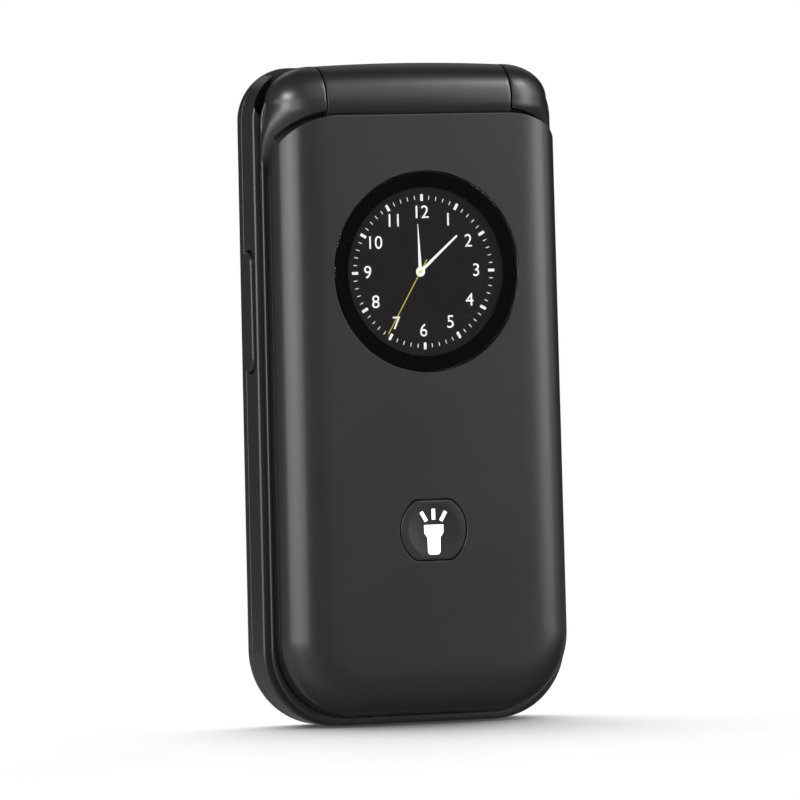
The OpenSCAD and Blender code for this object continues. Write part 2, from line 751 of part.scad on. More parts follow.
module torch_led() {
    led_d = body_t - rear_wall - clear;
    color("#e9e2b0") {
        plate(led_d - 1, led_d) translate([led_x, upper_z]) square(led_w, center = true);
        post(led_x, upper_z, led_w / 2 - slide, led_d - 0.01, body_t - window_sheet - 2 * clear);
    }
    color(board_green) plate(board_back, led_d - 1) translate([led_x, upper_z]) square([2, 3], center = true);
}

module base_screws() {
    color(steel) for (x = [-1, 1]) for (z = base_screw_z) {
        post(x * base_screw_x, z, screw_r, base_d + 1.2, bay_d + 0.01);
        post(x * base_screw_x, z, head_r, bay_d, bay_d + 0.7);
    }
}

// ---------------------------------------------------------------- side key

module volume_rocker() {
    in = rocker_x + side_wall + rocker_gap;
    nub = in + rocker_flange_t + rocker_nub;
    color(frame_black) {
        rocker_slot(rocker_len - 2 * rocker_gap, rocker_w - 2 * rocker_gap, rocker_x - rocker_proud, in + 0.01);
        block([in, in + rocker_flange_t], [rocker_d - 2, rocker_d + 2],
              [rocker_z - rocker_len / 2 - 1.2, rocker_z + rocker_len / 2 + 1.2]);
        for (s = [-1, 1]) block([in + rocker_flange_t - 0.01, nub], [rocker_d - 1, rocker_d + 1],
              [rocker_z + s * rocker_press_z - 1, rocker_z + s * rocker_press_z + 1]);
    }
}

module volume_switch() {
    x = rocker_x + side_wall + rocker_gap + rocker_flange_t + rocker_nub + rocker_air;
    edge = -board_w / 2 - clear / 2;
    color(steel) for (s = [-1, 1]) {
        block([x, x + 0.31], [rocker_d - 0.6, rocker_d + 0.6],
              [rocker_z + s * rocker_press_z - 0.8, rocker_z + s * rocker_press_z + 0.8]);
        block([x + 0.3, edge - 0.3], [mat_d + clear, rocker_d + 1.5],
              [rocker_z + s * rocker_press_z - 2, rocker_z + s * rocker_press_z + 2]);
    }
    color(gold) block([edge - 0.31, edge], [mat_d + clear, rocker_d + 1.6],
              [rocker_z - 9.5, rocker_z + 9.5]);
}

// ---------------------------------------------------------------- hinge pieces

module hinge_cartridge() {
    color(steel) difference() {
        shaft(cartridge_dia / 2, barrel_half - cartridge_len + clear, barrel_half);
        shaft(cam_shaft_r + pin_fit, barrel_half - 5, barrel_half + 1);
    }
}

module hinge_cam_head() {
    color(steel) {
        shaft(cam_shaft_r, barrel_half - 4.5, knuckle_x + 0.1);
        intersection() {
            shaft(cartridge_dia / 2, knuckle_x + 0.05, knuckle_x + cam_len);
            between_flats(knuckle_x, cam_len + 1, cam_flats);
        }
    }
}

// Room between two flats along the hinge axis
module between_flats(x0, len, flats) {
    translate([x0 - 0.01, hinge_y - flats / 2, hinge_z - barrel_r]) cube([len + 0.01, flats, 2 * barrel_r]);
}

module hinge_pin() {
    color(steel) difference() {
        shaft(pin_dia / 2, -knuckle_x - pin_reach, pin_end - slide);
        shaft(pin_dia / 2 - pin_wall, -knuckle_x - pin_reach - 1, pin_end - slide - 1);
    }
}

// The ribbon that carries the lid's signals, wound loosely round the pin
function coil(t, r) = let (a = 360 * flex_turns * t) [(r - 1.6 * t) * cos(a), (r - 1.6 * t) * sin(a)];
module hinge_flex() {
    steps = 36;
    color("#a8642c") translate([-barrel_half + 0.3, hinge_y, hinge_z]) rotate([90, 0, 90])
        linear_extrude(flex_w) polygon(concat(
            [for (i = [0:steps]) coil(i / steps, flex_r)],
            [for (i = [steps:-1:0]) coil(i / steps, flex_r - flex_t)]));
}

// ---------------------------------------------------------------- lid shells

function cover_ring(a) = let (e = cover_roll * (1 - sin(a)))
    [cover_side_d * (1 - cos(a)),
     outline(cover_half - e, cover_lip + e, cover_top, bottom_corner_r - e,
             [max(cover_corner.x - e, 2), cover_corner.y])];

module lid_cover() {
    color(shell_black) difference() {
        loft([for (i = [0:roll_steps]) cover_ring(90 * i / roll_steps)]);
        difference() {
            loft([[cover_wall, cover_inner(cover_roll * 0.42)],
                  [cover_wall + 1.2, cover_inner(cover_roll * 0.1)],
                  [cover_side_d + 1, cover_inner(0)]]);
            shaft(barrel_r + 0.3 + cover_wall, -half_w, half_w);
            post(0, window_z, window_dia / 2 + 1.4, 0, dial_d - clear);
            for (x = [-1, 1]) for (z = lid_screw_z)
                post(x * lid_screw_x, z, lid_boss_r, 0, plate_d - clear);
        }
        shaft(barrel_r + 0.3, -half_w, half_w);
        post(0, window_z, window_dia / 2, -1, window_t + ring_t);
        post(0, window_z, dial_dia / 2, -1, lid_t);
        plate(-1, lid_t) translate([0, torch_z]) torch_outline(slide);
        for (x = [-1, 1]) for (z = lid_screw_z)
            post(x * lid_screw_x, z, screw_r + clear, cover_wall + 0.8, lid_t);
    }
    color(shell_black) for (x = [-1, 1]) for (z = lid_screw_z) difference() {
        post(x * lid_screw_x, z, lid_boss_r, cover_side_d - 0.5, plate_d - clear);
        post(x * lid_screw_x, z, screw_r + clear, 0, lid_t);
    }
}

function cover_inner(e) = outline(cover_half - cover_wall - e, cover_lip + cover_wall + e,
    cover_top - 4, bottom_corner_r - cover_wall - e, [4, 4]);

function rim_outline(f) = outline(cover_half + rim_step * f, cover_lip * (1 - f), rim_top,
    bottom_corner_r + 0.5 * f, [rim_corner_r, rim_corner_r]);

module lid_frame() {
    color(frame_black) difference() {
        union() {
            difference() {
                loft(concat([for (i = [0:4]) let (a = 90 * i / 4)
                        [rim_d + 2 * (1 - cos(a)), rim_outline(sin(a))]],
                    [[lid_t - 0.3, rim_outline(1)], [lid_t, rim_outline(0.7)]]));
                shaft(barrel_r + 0.3, -knuckle_x, knuckle_x);
            }
            difference() {
                both_sides() {
                    knuckle();
                    elbow();
                }
                cover_room();
            }
        }
        difference() {
            plate(cover_side_d - 1, plate_d) polygon(outline(cover_half - cover_wall, cover_lip + cover_wall,
                cover_top - 4, bottom_corner_r - cover_wall, [4, 4]));
            shaft(barrel_r + 0.3 + cover_wall, -half_w, half_w);
        }
        plate(screen_d, lid_t + 1) translate([0, screen_z]) slab([screen_w + 2 * clear, screen_h + 2 * clear], screen_r + clear);
        plate(0, lid_t) translate([0, screen_z]) slab([lcd_w + 2 * clear, lcd_h + 2 * clear], 0.8);
        for (x = [-1, 1]) for (z = lid_screw_z) {
            post(x * lid_screw_x, z, screw_r + clear, 0, lid_t);
            post(x * lid_screw_x, z, head_r + 0.25, lid_t - 1.2, lid_t + 1);
        }
        plate(0, lid_t + 1) translate([0, earpiece_z]) slab([earpiece_size.x - 1, 1.4], 0.69);
        shaft(pin_dia / 2 + pin_fit, -knuckle_x - pin_reach - 0.5, -knuckle_x + 1);
        intersection() {
            shaft(cartridge_dia / 2 + clear, knuckle_x - 1, knuckle_x + cam_len + clear);
            between_flats(knuckle_x - 1, cam_len + 3, cam_flats + 2 * clear);
        }
    }
}

// ---------------------------------------------------------------- lid pieces

// A quarter of the torch key's outline: its round side, then the corner up to its flat
function torch_quarter(grow) = let (
    side = torch_w / 2 + grow,
    r = torch_corner_r + grow,
    z = torch_h / 2 + grow - r,
    x = sqrt(pow(side - r, 2) - z * z),
    a = atan2(z, x)) concat(
        [for (i = [0:8]) side * [cos(a * i / 8), sin(a * i / 8)]],
        [for (i = [1:4]) let (b = a + (90 - a) * i / 4) [x + r * cos(b), z + r * sin(b)]]);

module torch_outline(grow) {
    quarter = torch_quarter(grow);
    last = len(quarter) - 1;
    polygon(concat(
        quarter,
        [for (i = [last:-1:0]) [-quarter[i].x, quarter[i].y]],
        [for (i = [1:last]) -quarter[i]],
        [for (i = [last:-1:1]) [quarter[i].x, -quarter[i].y]]));
}

module torch_key() {
    color(shell_black) {
        plate(0.05, torch_flange_d + 0.01) translate([0, torch_z]) torch_outline(0);
        plate(torch_flange_d, torch_flange_d + torch_flange_t) translate([0, torch_z]) torch_outline(torch_lip);
        post(0, torch_z, torch_stem_r, torch_flange_d + torch_flange_t - 0.01, torch_foot);
    }
}

module torch_switch() {
    color(steel) {
        half = torch_switch[0] / 2;
        top = lid_board_d - torch_switch[1];
        block([-half, half], [top, lid_board_d], [torch_z - half, torch_z + half]);
        post(0, torch_z, 1.2, top - torch_plunger, top + 0.01);
    }
}

module window_glass() {
    color(dark_glass) post(0, window_z, window_dia / 2 - clear / 2, 0, window_t);
}

module window_ring() {
    color("#050506") difference() {
        post(0, window_z, window_dia / 2 - clear, window_t, window_t + ring_t);
        post(0, window_z, dial_dia / 2, 0, lid_t);
    }
}

module dial_display() {
    color("#101012") post(0, window_z, dial_module_dia / 2, dial_d, dial_d + dial_t);
}

module lid_board() {
    color(board_green) plate(lid_board_d, lid_board_d + lid_board_t)
        translate([0, (lid_board_z[0] + lid_board_z[1]) / 2]) slab([lid_board_w, lid_board_z[1] - lid_board_z[0]], 2);
}

module main_display() {
    color("#101014") plate(lcd_d, lcd_d + lcd_t) translate([0, screen_z]) slab([lcd_w, lcd_h], 0.6);
}

module display_glass() {
    color(dark_glass) plate(screen_d, screen_d + screen_t) translate([0, screen_z]) slab([screen_w, screen_h], screen_r);
}

module earpiece() {
    color(steel) plate(plate_d - clear - earpiece_t, plate_d - clear) translate([0, earpiece_z]) slab(earpiece_size, 1.5);
}

module lid_screws() {
    color(steel) for (x = [-1, 1]) for (z = lid_screw_z) {
        post(x * lid_screw_x, z, screw_r, cover_wall + 1.2, lid_t - 1.19);
        post(x * lid_screw_x, z, head_r, lid_t - 1.2, lid_t - 0.6);
    }
}

module lid_bumpers() {
    color("#3a3a3c") for (x = [-1, 1]) for (z = lid_screw_z)
        post(x * lid_screw_x, z, head_r + 0.15, lid_t - 0.6, lid_t + bumper_rise);
}

module lid_magnet() {
    color(steel) block([-magnet_w / 2, magnet_w / 2], [plate_d - clear - magnet_t, plate_d - clear], magnet_z);
}

// ---------------------------------------------------------------- assembly

keypad_frame();
base_housing();
battery_cover();
keypad_mat();
dome_sheet();
main_board();
shield_cans();
battery();
battery_contacts();
sim_sockets();
usb_socket();
antenna();
loudspeaker();
microphone();
vibration_motor();
camera_module();
camera_window();
torch_led();
base_screws();
volume_rocker();
volume_switch();
hinge_cartridge();
hinge_pin();
hinge_flex();
nav_ring();
key_ok();
for (k = concat(number_keys, side_keys)) key_cap(k);
lid_frame();
lid_cover();
window_glass();
window_ring();
dial_display();
torch_key();
torch_switch();
lid_board();
main_display();
display_glass();
earpiece();
lid_screws();
lid_bumpers();
lid_magnet();
hinge_cam_head();
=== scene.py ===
"""Finish of a black clamshell telephone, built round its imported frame.

The phone stands closed on its bottom end. Lengths are millimetres in the frame's own axes: X across,
Y from the front cover to the back, Z up. A depth is measured back from the front of the cover.
"""

import json
import math

import bmesh
import bpy
from mathutils import Matrix, Vector

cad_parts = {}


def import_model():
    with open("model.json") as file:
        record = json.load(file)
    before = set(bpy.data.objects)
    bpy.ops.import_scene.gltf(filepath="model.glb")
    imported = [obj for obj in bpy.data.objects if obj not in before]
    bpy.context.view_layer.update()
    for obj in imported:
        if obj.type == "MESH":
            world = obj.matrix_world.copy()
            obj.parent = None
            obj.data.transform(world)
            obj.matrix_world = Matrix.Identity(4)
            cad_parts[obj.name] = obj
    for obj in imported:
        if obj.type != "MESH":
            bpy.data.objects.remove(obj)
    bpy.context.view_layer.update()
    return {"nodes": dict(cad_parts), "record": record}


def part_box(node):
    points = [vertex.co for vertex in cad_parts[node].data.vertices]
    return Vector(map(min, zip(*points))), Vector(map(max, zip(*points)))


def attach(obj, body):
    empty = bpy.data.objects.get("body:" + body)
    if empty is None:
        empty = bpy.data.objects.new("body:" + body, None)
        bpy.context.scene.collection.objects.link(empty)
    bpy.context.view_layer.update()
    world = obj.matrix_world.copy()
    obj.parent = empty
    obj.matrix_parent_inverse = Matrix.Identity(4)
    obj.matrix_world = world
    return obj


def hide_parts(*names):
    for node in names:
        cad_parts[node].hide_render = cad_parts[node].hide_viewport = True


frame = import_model()

MM = 0.001

# ---------------- driving sizes, as in the frame

LENGTH = 112.0
WIDTH = 56.0
THICKNESS = 19.5
HALF = WIDTH / 2
SIDE_TAPER = 0.5
SEAM = 0.12                  # parting lines
CLEAR = 0.1                  # round a piece fixed in its seat
SLIDE = 0.2                  # round a piece that moves
HINGE_GAP = 0.3              # between pieces that turn past each other at the hinge
SIDE_WALL = 1.3

LID_T = 8.5
BASE_D = 9.0                 # front of the base
SEAM_D = 14.0                # parting line between the base's two housings
BASE_TOP = LENGTH - 0.4
BOTTOM_R = 13.0
TOP_R = 9.0
BACK_ROLL = (4.0, 4.8)       # how far the back edge's roll reaches in, and its depth
REAR_WALL = 1.4

PANEL_HALF = 23.5            # half width of the battery cover's seat
PANEL_SEAT = 1.3             # depth of that seat
BAY_WIDTH = 44.6
BAY_D = 14.1                 # front of the battery's bay
UPPER_BAY = (46, 10)         # width and height of the bay behind camera and loudspeaker
LENS_R = 3.1
LAMP_R = 1.75
SPEAKER_SLOT = (0.9, 6.4)
MIC_R = 0.4

COVER_HALF = HALF - 1.8
COVER_SIDE_D = 5.5
COVER_BACK_D = 5.3           # where the cover ends, before the shadow gap
COVER_ROLL = 6.0             # how far in the sides' round reaches
COVER_EASE = 10.2            # how far in it starts, as a slight fall
COVER_EASE_POWER = 3.8
COVER_TOP_EDGE = 0.25
COVER_LIP = 1.8              # height of the rim below the cover
COVER_WALL = 1.4
COVER_CORNER = (11.0, 6.6)
RIM_STEP = 0.8
RIM_D = COVER_SIDE_D + SEAM
RIM_LEDGE_D = 7.7            # front of the ledge that the rim runs round the cover
RIM_FLAT = 0.66              # share of the rim's width up to its rounded edge
TRENCH_END = 0.26            # share of the rim's width that the dark trench beside the cover takes
TRENCH_DEPTH = 0.55
BUMPER_R = 1.65
WINDOW_R = 17.0
DIAL_WINDOW_R = 14.25

BARREL_R = 6.4
BARREL_CROWN = 0.4
BARREL_HALF = 33.7 / 2
HINGE_D = 7.3
HINGE_Z = LENGTH - BARREL_R
KNUCKLE_R = BARREL_R - BARREL_CROWN
KNUCKLE_X = BARREL_HALF + HINGE_GAP
WEB_RISE = 3.0
FRAME_EDGE = 0.45            # radius of the base's front edge
RING_R = 10.0                # the four-way ring
ELBOW_GAP = 0.4              # shadow gap between cover and elbow
ELBOW_GAP_TOP = 0.9          # the same above the cover's corners
ELBOW_CORE = KNUCKLE_R - 1.6 # what a knuckle keeps behind the cover
COVER_TOP = HINGE_Z - 2.4

EDGE = 0.15                  # radius of a moulding's small edges
CREASE = 30                  # degrees: a sharper edge is shaded as an edge
CORNER_STEPS = 24
ROLL_STEPS = 24
EDGE_STEPS = 3


def box(node):
    """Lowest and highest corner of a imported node, in millimetres."""
    low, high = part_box(node)
    return low / MM, high / MM


def middle(node):
    low, high = box(node)
    return (low + high) / 2


FRONT = box("lid_cover")[0].y
WINDOW_Z = middle("window_glass").z
TORCH_Z = middle("torch_key").z


def depth_of(y):
    return y - FRONT


# ---------------- outlines, seen from the front

def narrowed(x, z):
    return x * (1 - SIDE_TAPER / HALF * z / LENGTH)


def arc(x, z, rx, rz, start, turn=90, steps=CORNER_STEPS):
    """Points of an elliptical arc about (x, z), from the angle start."""
    angles = [math.radians(start + turn * i / steps) for i in range(steps + 1)]
    return [(x + rx * math.cos(a), z + rz * math.sin(a)) for a in angles]


def outline(half, bottom, top, bottom_r, top_r):
    """A plate's outline from its half width, ends, bottom radius and top radii."""
    rx, rz = top_r
    points = arc(half - rx, top - rz, rx, rz, 0)
    points += arc(rx - half, top - rz, rx, rz, 90)
    points += arc(bottom_r - half, bottom + bottom_r, bottom_r, bottom_r, 180)
    points += arc(half - bottom_r, bottom + bottom_r, bottom_r, bottom_r, 270)
    return [(narrowed(x, z), z) for x, z in points]


def base_outline(inset):
    return outline(HALF - inset, inset, BASE_TOP - inset, BOTTOM_R - inset, (TOP_R - inset, TOP_R - inset))


def slab(width, height, radius, x=0.0, z=0.0, steps=8):
    """A rounded rectangle about (x, z), as a function of how far it grows."""
    def shape(grow=0.0):
        r = max(radius + grow, 0.01)
        w, h = width / 2 + grow - r, height / 2 + grow - r
        corners = ((w, h, 0), (-w, h, 90), (-w, -h, 180), (w, -h, 270))
        return [point for dx, dz, start in corners for point in arc(x + dx, z + dz, r, r, start, 90, steps)]
    return shape


def seat(node, radius, steps=8):
    """The outline of a node's box with clearance all round."""
    low, high = box(node)
    return slab(high.x - low.x + 2 * CLEAR, high.z - low.z + 2 * CLEAR, radius, (low.x + high.x) / 2,
                (low.z + high.z) / 2, steps)


def disc(radius, x=0.0, z=0.0, steps=96):
    def shape(grow=0.0):
        return arc(x, z, radius + grow, radius + grow, 0, 360, steps)[:-1]
    return shape


def torch_shape(grow=0.0, width=12.0, height=10.1, corner=1.5):
    """The torch key's outline: round sides, flats at top and bottom, and rounded corners between them."""
    side, r = width / 2 + grow, corner + grow
    z = height / 2 + grow - r
    x = math.sqrt((side - r) ** 2 - z * z)
    turn = math.degrees(math.atan2(z, x))
    part = arc(0, 0, side, side, 0, turn, 20) + arc(x, z, r, r, turn, 90 - turn, 10)[1:]
    points = part + [(-px, pz) for px, pz in reversed(part)]
    points += [(-px, -pz) for px, pz in part[1:]] + [(px, -pz) for px, pz in reversed(part[1:])]
    return [(px, TORCH_Z + pz) for px, pz in points]


def panel_shape(grow=0.0):
    """The battery cover's outline, which keeps to the flat of the back."""
    low, high = box("battery_cover")
    r = BOTTOM_R - BACK_ROLL[0] - 0.5 + grow
    return outline(PANEL_HALF + grow, low.z - CLEAR - grow, high.z + CLEAR + grow, r, (3 + grow, 3 + grow))


# ---------------- meshes

def placed(name, data):
    """A new object in the scene, made of the data."""
    made = bpy.data.objects.new(name, data)
    bpy.context.scene.collection.objects.link(made)
    return made


def solid(name, rings, endless=False):
    """A closed mesh through rings of equal length, with ends unless endless; points are (x, depth, z)."""
    count, total = len(rings[0]), len(rings)
    points = [Vector((x, depth + FRONT, z)) * MM for ring in rings for x, depth, z in ring]
    faces = [] if endless else [list(range(count)), list(range((total - 1) * count, total * count))]
    for k in range(total if endless else total - 1):
        near, far = k * count, (k + 1) % total * count
        for i in range(count):
            j = (i + 1) % count
            faces.append((near + i, near + j, far + j, far + i))
    mesh = bpy.data.meshes.new(name)
    mesh.from_pydata(points, [], faces)
    work = bmesh.new()
    work.from_mesh(mesh)
    bmesh.ops.recalc_face_normals(work, faces=work.faces)
    work.to_mesh(mesh)
    work.free()
    return placed(name, mesh)


def loft(name, rings):
    """A solid through outlines at rising depths; each ring is (depth, outline)."""
    return solid(name, [[(x, depth, z) for x, z in points] for depth, points in rings])


def quarter(steps):
    """Sine and cosine at each step of a quarter turn."""
    angles = [math.radians(90 * i / steps) for i in range(steps + 1)]
    return [(math.sin(a), math.cos(a)) for a in angles]


def round_over(radius, steps=EDGE_STEPS):
    """A rounded edge from the face to the side, in steps of (fall from the face, inset from the side)."""
    return [(radius * (1 - s), radius * (1 - c)) for s, c in quarter(steps)[::-1]]


def prism(name, shape, near, far, near_edge=0.0, far_edge=0.0):
    """An outline given a thickness, with rounded edges where they have a radius."""
    front = round_over(near_edge) if near_edge else [(0, 0)]
    back = round_over(far_edge)[::-1] if far_edge else [(0, 0)]
    return loft(name, [(near + fall, shape(-inset)) for fall, inset in front]
                + [(far - fall, shape(-inset)) for fall, inset in back])


def mouth(name, shape, near, far, edge=EDGE):
    """A cutting tool whose hole has a rounded edge where it meets the surface at the depth near."""
    lip = [(near + fall, shape(inset)) for fall, inset in round_over(edge)]
    return loft(name, [(near - 1, shape(edge))] + lip + [(far, shape(0))])


def back_mouth(name, shape, near, far, edge=EDGE):
    """The same for a hole in the back: it opens at the depth far."""
    lip = [(far - fall, shape(inset)) for fall, inset in round_over(edge)[::-1]]
    return loft(name, [(near, shape(0))] + lip + [(far + 1, shape(edge))])


def circle(radius, steps):
    """Points round a centre, which never quite close up at no radius."""
    r = max(radius, 0.001)
    angles = [2 * math.pi * i / steps for i in range(steps)]
    return [(r * math.cos(a), r * math.sin(a)) for a in angles]


def turned(name, profile, x=0.0, z=0.0, steps=96):
    """A solid of revolution about the depth axis at (x, z); the profile is (radius, depth)."""
    return solid(name, [[(x + u, depth, z + v) for u, v in circle(r, steps)] for r, depth in profile])


def turned_on_hinge(name, profile, steps=128):
    """A solid of revolution on the hinge axis; the profile is (radius, x)."""
    return solid(name, [[(x, HINGE_D + u, HINGE_Z + v) for u, v in circle(r, steps)] for r, x in profile])


def shaft(name, radius, x0, x1):
    return turned_on_hinge(name, [(radius, x0), (radius, x1)])


def block(name, x, depth, z):
    corners = [(x[0], z[0]), (x[1], z[0]), (x[1], z[1]), (x[0], z[1])]
    return loft(name, [(d, corners) for d in depth])


def mirrored(piece):
    """The same piece on the other side."""
    other = placed(piece.name, piece.data.copy())
    other.data.transform(Matrix.Scale(-1, 4, (1, 0, 0)))
    other.data.flip_normals()
    return other


def combine(piece, tools, operation):
    """Works the tools into the piece's own mesh, one after another."""
    for tool in tools:
        step = piece.modifiers.new("tool", "BOOLEAN")
        step.operation = operation
        step.solver = "MANIFOLD"
        step.object = tool
        result = piece.evaluated_get(bpy.context.evaluated_depsgraph_get())
        mesh = bpy.data.meshes.new_from_object(result)
        piece.modifiers.clear()
        piece.data = mesh
        bpy.data.objects.remove(tool)
    if not piece.data.polygons:
        raise ValueError(f"{piece.name} came out empty")
    return piece


def cut(piece, *tools):
    return combine(piece, tools, "DIFFERENCE")


def add(piece, *tools):
    return combine(piece, tools, "UNION")


def common(piece, *tools):
    return combine(piece, tools, "INTERSECT")


def merged(name, pieces):
    """Several pieces as one."""
    work = bmesh.new()
    for piece in pieces:
        work.from_mesh(piece.data)
    mesh = bpy.data.meshes.new(name)
    work.to_mesh(mesh)
    work.free()
    for piece in pieces:
        bpy.data.objects.remove(piece)
    return placed(name, mesh)


def smooth(piece):
    """Smooth shading that keeps edges sharper than the crease, with flat faces shaded flat."""
    mesh = piece.data
    work = bmesh.new()
    work.from_mesh(mesh)
    bmesh.ops.remove_doubles(work, verts=work.verts, dist=1e-7)
    for face in work.faces:
        face.smooth = True
    for edge in work.edges:
        edge.smooth = len(edge.link_faces) == 2 and edge.calc_face_angle(0) < math.radians(CREASE)
    work.to_mesh(mesh)
    work.free()
    normals = piece.modifiers.new("normals", "WEIGHTED_NORMAL")
    normals.keep_sharp = True


# ---------------- materials

BROAD_MM = 18.0              # size of a moulding's broad unevenness
WHITE = (1.0, 1.0, 1.0, 1.0)


def linear(hex_colour):
    """An sRGB hex value as linear red, green, blue and alpha."""
    values = [int(hex_colour[i:i + 2], 16) / 255 for i in (1, 3, 5)]
    return [v / 12.92 if v <= 0.04045 else ((v + 0.055) / 1.055) ** 2.4 for v in values] + [1.0]


def node(tree, kind, links=(), **settings):
    """Adds a node with its settings, and its inputs' links as (input, other node, output)."""
    added = tree.nodes.new(kind)
    for name, value in settings.items():
        if hasattr(added, name):
            setattr(added, name, value)
        else:
            added.inputs[name.replace("_", " ")].default_value = value
    for socket, other, output in links:
        tree.links.new(other.outputs[output], added.inputs[socket])
    return added


def material(name, colour, **settings):
    """A principled material; returns it, its tree and its shader node."""
    made = bpy.data.materials.new(name)
    made.use_nodes = True
    tree = made.node_tree
    shader = tree.nodes["Principled BSDF"]
    shader.inputs["Base Color"].default_value = linear(colour)
    for socket, value in settings.items():
        shader.inputs[socket.replace("_", " ")].default_value = value
    return made, tree, shader


def moulded(name, colour, grain_mm, height_mm, rough, spread, edge_mm=0.0, **settings):
    """A mould's spark-eroded texture: fine grains that break up the gloss, with faint broad unevenness."""
    made, tree, shader = material(name, colour, **settings)
    place = [("Vector", node(tree, "ShaderNodeTexCoord"), "Object")]
    grain = node(tree, "ShaderNodeTexNoise", place, Scale=1 / (grain_mm * MM), Detail=2.0, Roughness=0.6)
    broad = node(tree, "ShaderNodeTexNoise", place, Scale=1 / (BROAD_MM * MM), Detail=3.0)
    tone = node(tree, "ShaderNodeMapRange", [("Value", broad, "Fac")], From_Min=0.3, From_Max=0.7,
                To_Min=rough - spread, To_Max=rough + spread)
    bump = node(tree, "ShaderNodeBump", [("Height", grain, "Fac")], Strength=1.0, Distance=height_mm * MM)
    if edge_mm:
        edges = node(tree, "ShaderNodeBevel", samples=6, Radius=edge_mm * MM)
        tree.links.new(edges.outputs["Normal"], bump.inputs["Normal"])
    tree.links.new(tone.outputs["Result"], shader.inputs["Roughness"])
    tree.links.new(bump.outputs["Normal"], shader.inputs["Normal"])
    return made


def black_ink():
    """Black ink printed on the back of the glass, which shows no texture of its own."""
    made, tree, shader = material("black_ink", "#0c0c0d", IOR=1.5)
    place = node(tree, "ShaderNodeTexCoord")
    film = node(tree, "ShaderNodeTexNoise", [("Vector", place, "Object")], Scale=1 / (0.4 * MM))
    tone = node(tree, "ShaderNodeMapRange", [("Value", film, "Fac")], To_Min=0.22, To_Max=0.3)
    tree.links.new(tone.outputs["Result"], shader.inputs["Roughness"])
    return made


def lit_panel(name, colour, glow):
    """The dark ground of a display that is switched on: a faint even glow behind a smooth polariser."""
    made, tree, shader = material(name, colour, IOR=1.5, Roughness=0.3, Specular_IOR_Level=0.1,
                                  Emission_Color=WHITE)
    place = node(tree, "ShaderNodeTexCoord")
    rows = node(tree, "ShaderNodeTexWave", [("Vector", place, "Object")], Scale=1 / (0.6 * MM),
                bands_direction="Z")
    light = node(tree, "ShaderNodeMapRange", [("Value", rows, "Fac")], To_Min=glow * 0.94, To_Max=glow)
    tree.links.new(light.outputs["Result"], shader.inputs["Emission Strength"])
    return made


def lit_ink(name, colour, glow):
    """Lit picture elements of a display, or a legend that light shines through."""
    return material(name, colour, Roughness=0.5, Emission_Strength=glow, Emission_Color=linear(colour))[0]


def white_print():
    """Pad-printed white ink: matt and slightly uneven, with a faint painted glow that lifts it."""
    made, tree, shader = material("white_print", "#f4f4f2", Roughness=0.55, Emission_Strength=0.12,
                                  Emission_Color=WHITE)
    place = node(tree, "ShaderNodeTexCoord")
    film = node(tree, "ShaderNodeTexNoise", [("Vector", place, "Object")], Scale=1 / (0.3 * MM))
    bump = node(tree, "ShaderNodeBump", [("Height", film, "Fac")], Strength=0.4, Distance=0.004 * MM)
    tree.links.new(bump.outputs["Normal"], shader.inputs["Normal"])
    return made


def stamped_steel():
    """Stainless steel sheet, stamped and lightly brushed: a grey metal with fine parallel lines."""
    made, tree, shader = material("stamped_steel", "#b7b8ba", Metallic=1.0, Roughness=0.32)
    place = node(tree, "ShaderNodeTexCoord")
    stretch = node(tree, "ShaderNodeMapping", [("Vector", place, "Object")])
    stretch.inputs["Scale"].default_value = (1 / (0.12 * MM), 1 / (0.12 * MM), 1 / (4 * MM))
    lines = node(tree, "ShaderNodeTexNoise", [("Vector", stretch, "Vector")], Scale=1.0, Detail=2.0)
    tone = node(tree, "ShaderNodeMapRange", [("Value", lines, "Fac")], To_Min=0.26, To_Max=0.4)
    bump = node(tree, "ShaderNodeBump", [("Height", lines, "Fac")], Strength=0.5, Distance=0.002 * MM)
    tree.links.new(tone.outputs["Result"], shader.inputs["Roughness"])
    tree.links.new(bump.outputs["Normal"], shader.inputs["Normal"])
    return made


def solder_mask():
    """Green solder mask over copper tracks, which lie just under it in straight lines."""
    made, tree, shader = material("solder_mask", "#123f2a", IOR=1.5, Roughness=0.3)
    place = node(tree, "ShaderNodeTexCoord")
    tracks = node(tree, "ShaderNodeTexBrick", [("Vector", place, "Object")], Scale=1 / (6 * MM))
    tracks.inputs["Color1"].default_value = linear("#123f2a")
    tracks.inputs["Color2"].default_value = linear("#17492f")
    tracks.inputs["Mortar"].default_value = linear("#1d5a3a")
    tree.links.new(tracks.outputs["Color"], shader.inputs["Base Color"])
    bump = node(tree, "ShaderNodeBump", [("Height", tracks, "Fac")], Strength=0.6, Distance=0.02 * MM)
    tree.links.new(bump.outputs["Normal"], shader.inputs["Normal"])
    return made


# ABS moulded black with a fine matt grain and a soft-touch lacquer: a broad, gentle sheen
SOFT_TOUCH = moulded("soft_touch_abs", "#151516", 0.22, 0.0010, 0.31, 0.015, 0.07, IOR=1.5)
# ABS from a smoother mould, for the frame and the barrel: darker, with a tighter sheen
SATIN = moulded("satin_abs", "#141415", 0.18, 0.0006, 0.31, 0.015, 0.12, IOR=1.5)
# Polycarbonate key tops, moulded smooth and painted dark grey: an even semi-gloss
KEY = moulded("key_polycarbonate", "#2b2b2f", 0.15, 0.0008, 0.32, 0.02, IOR=1.58)
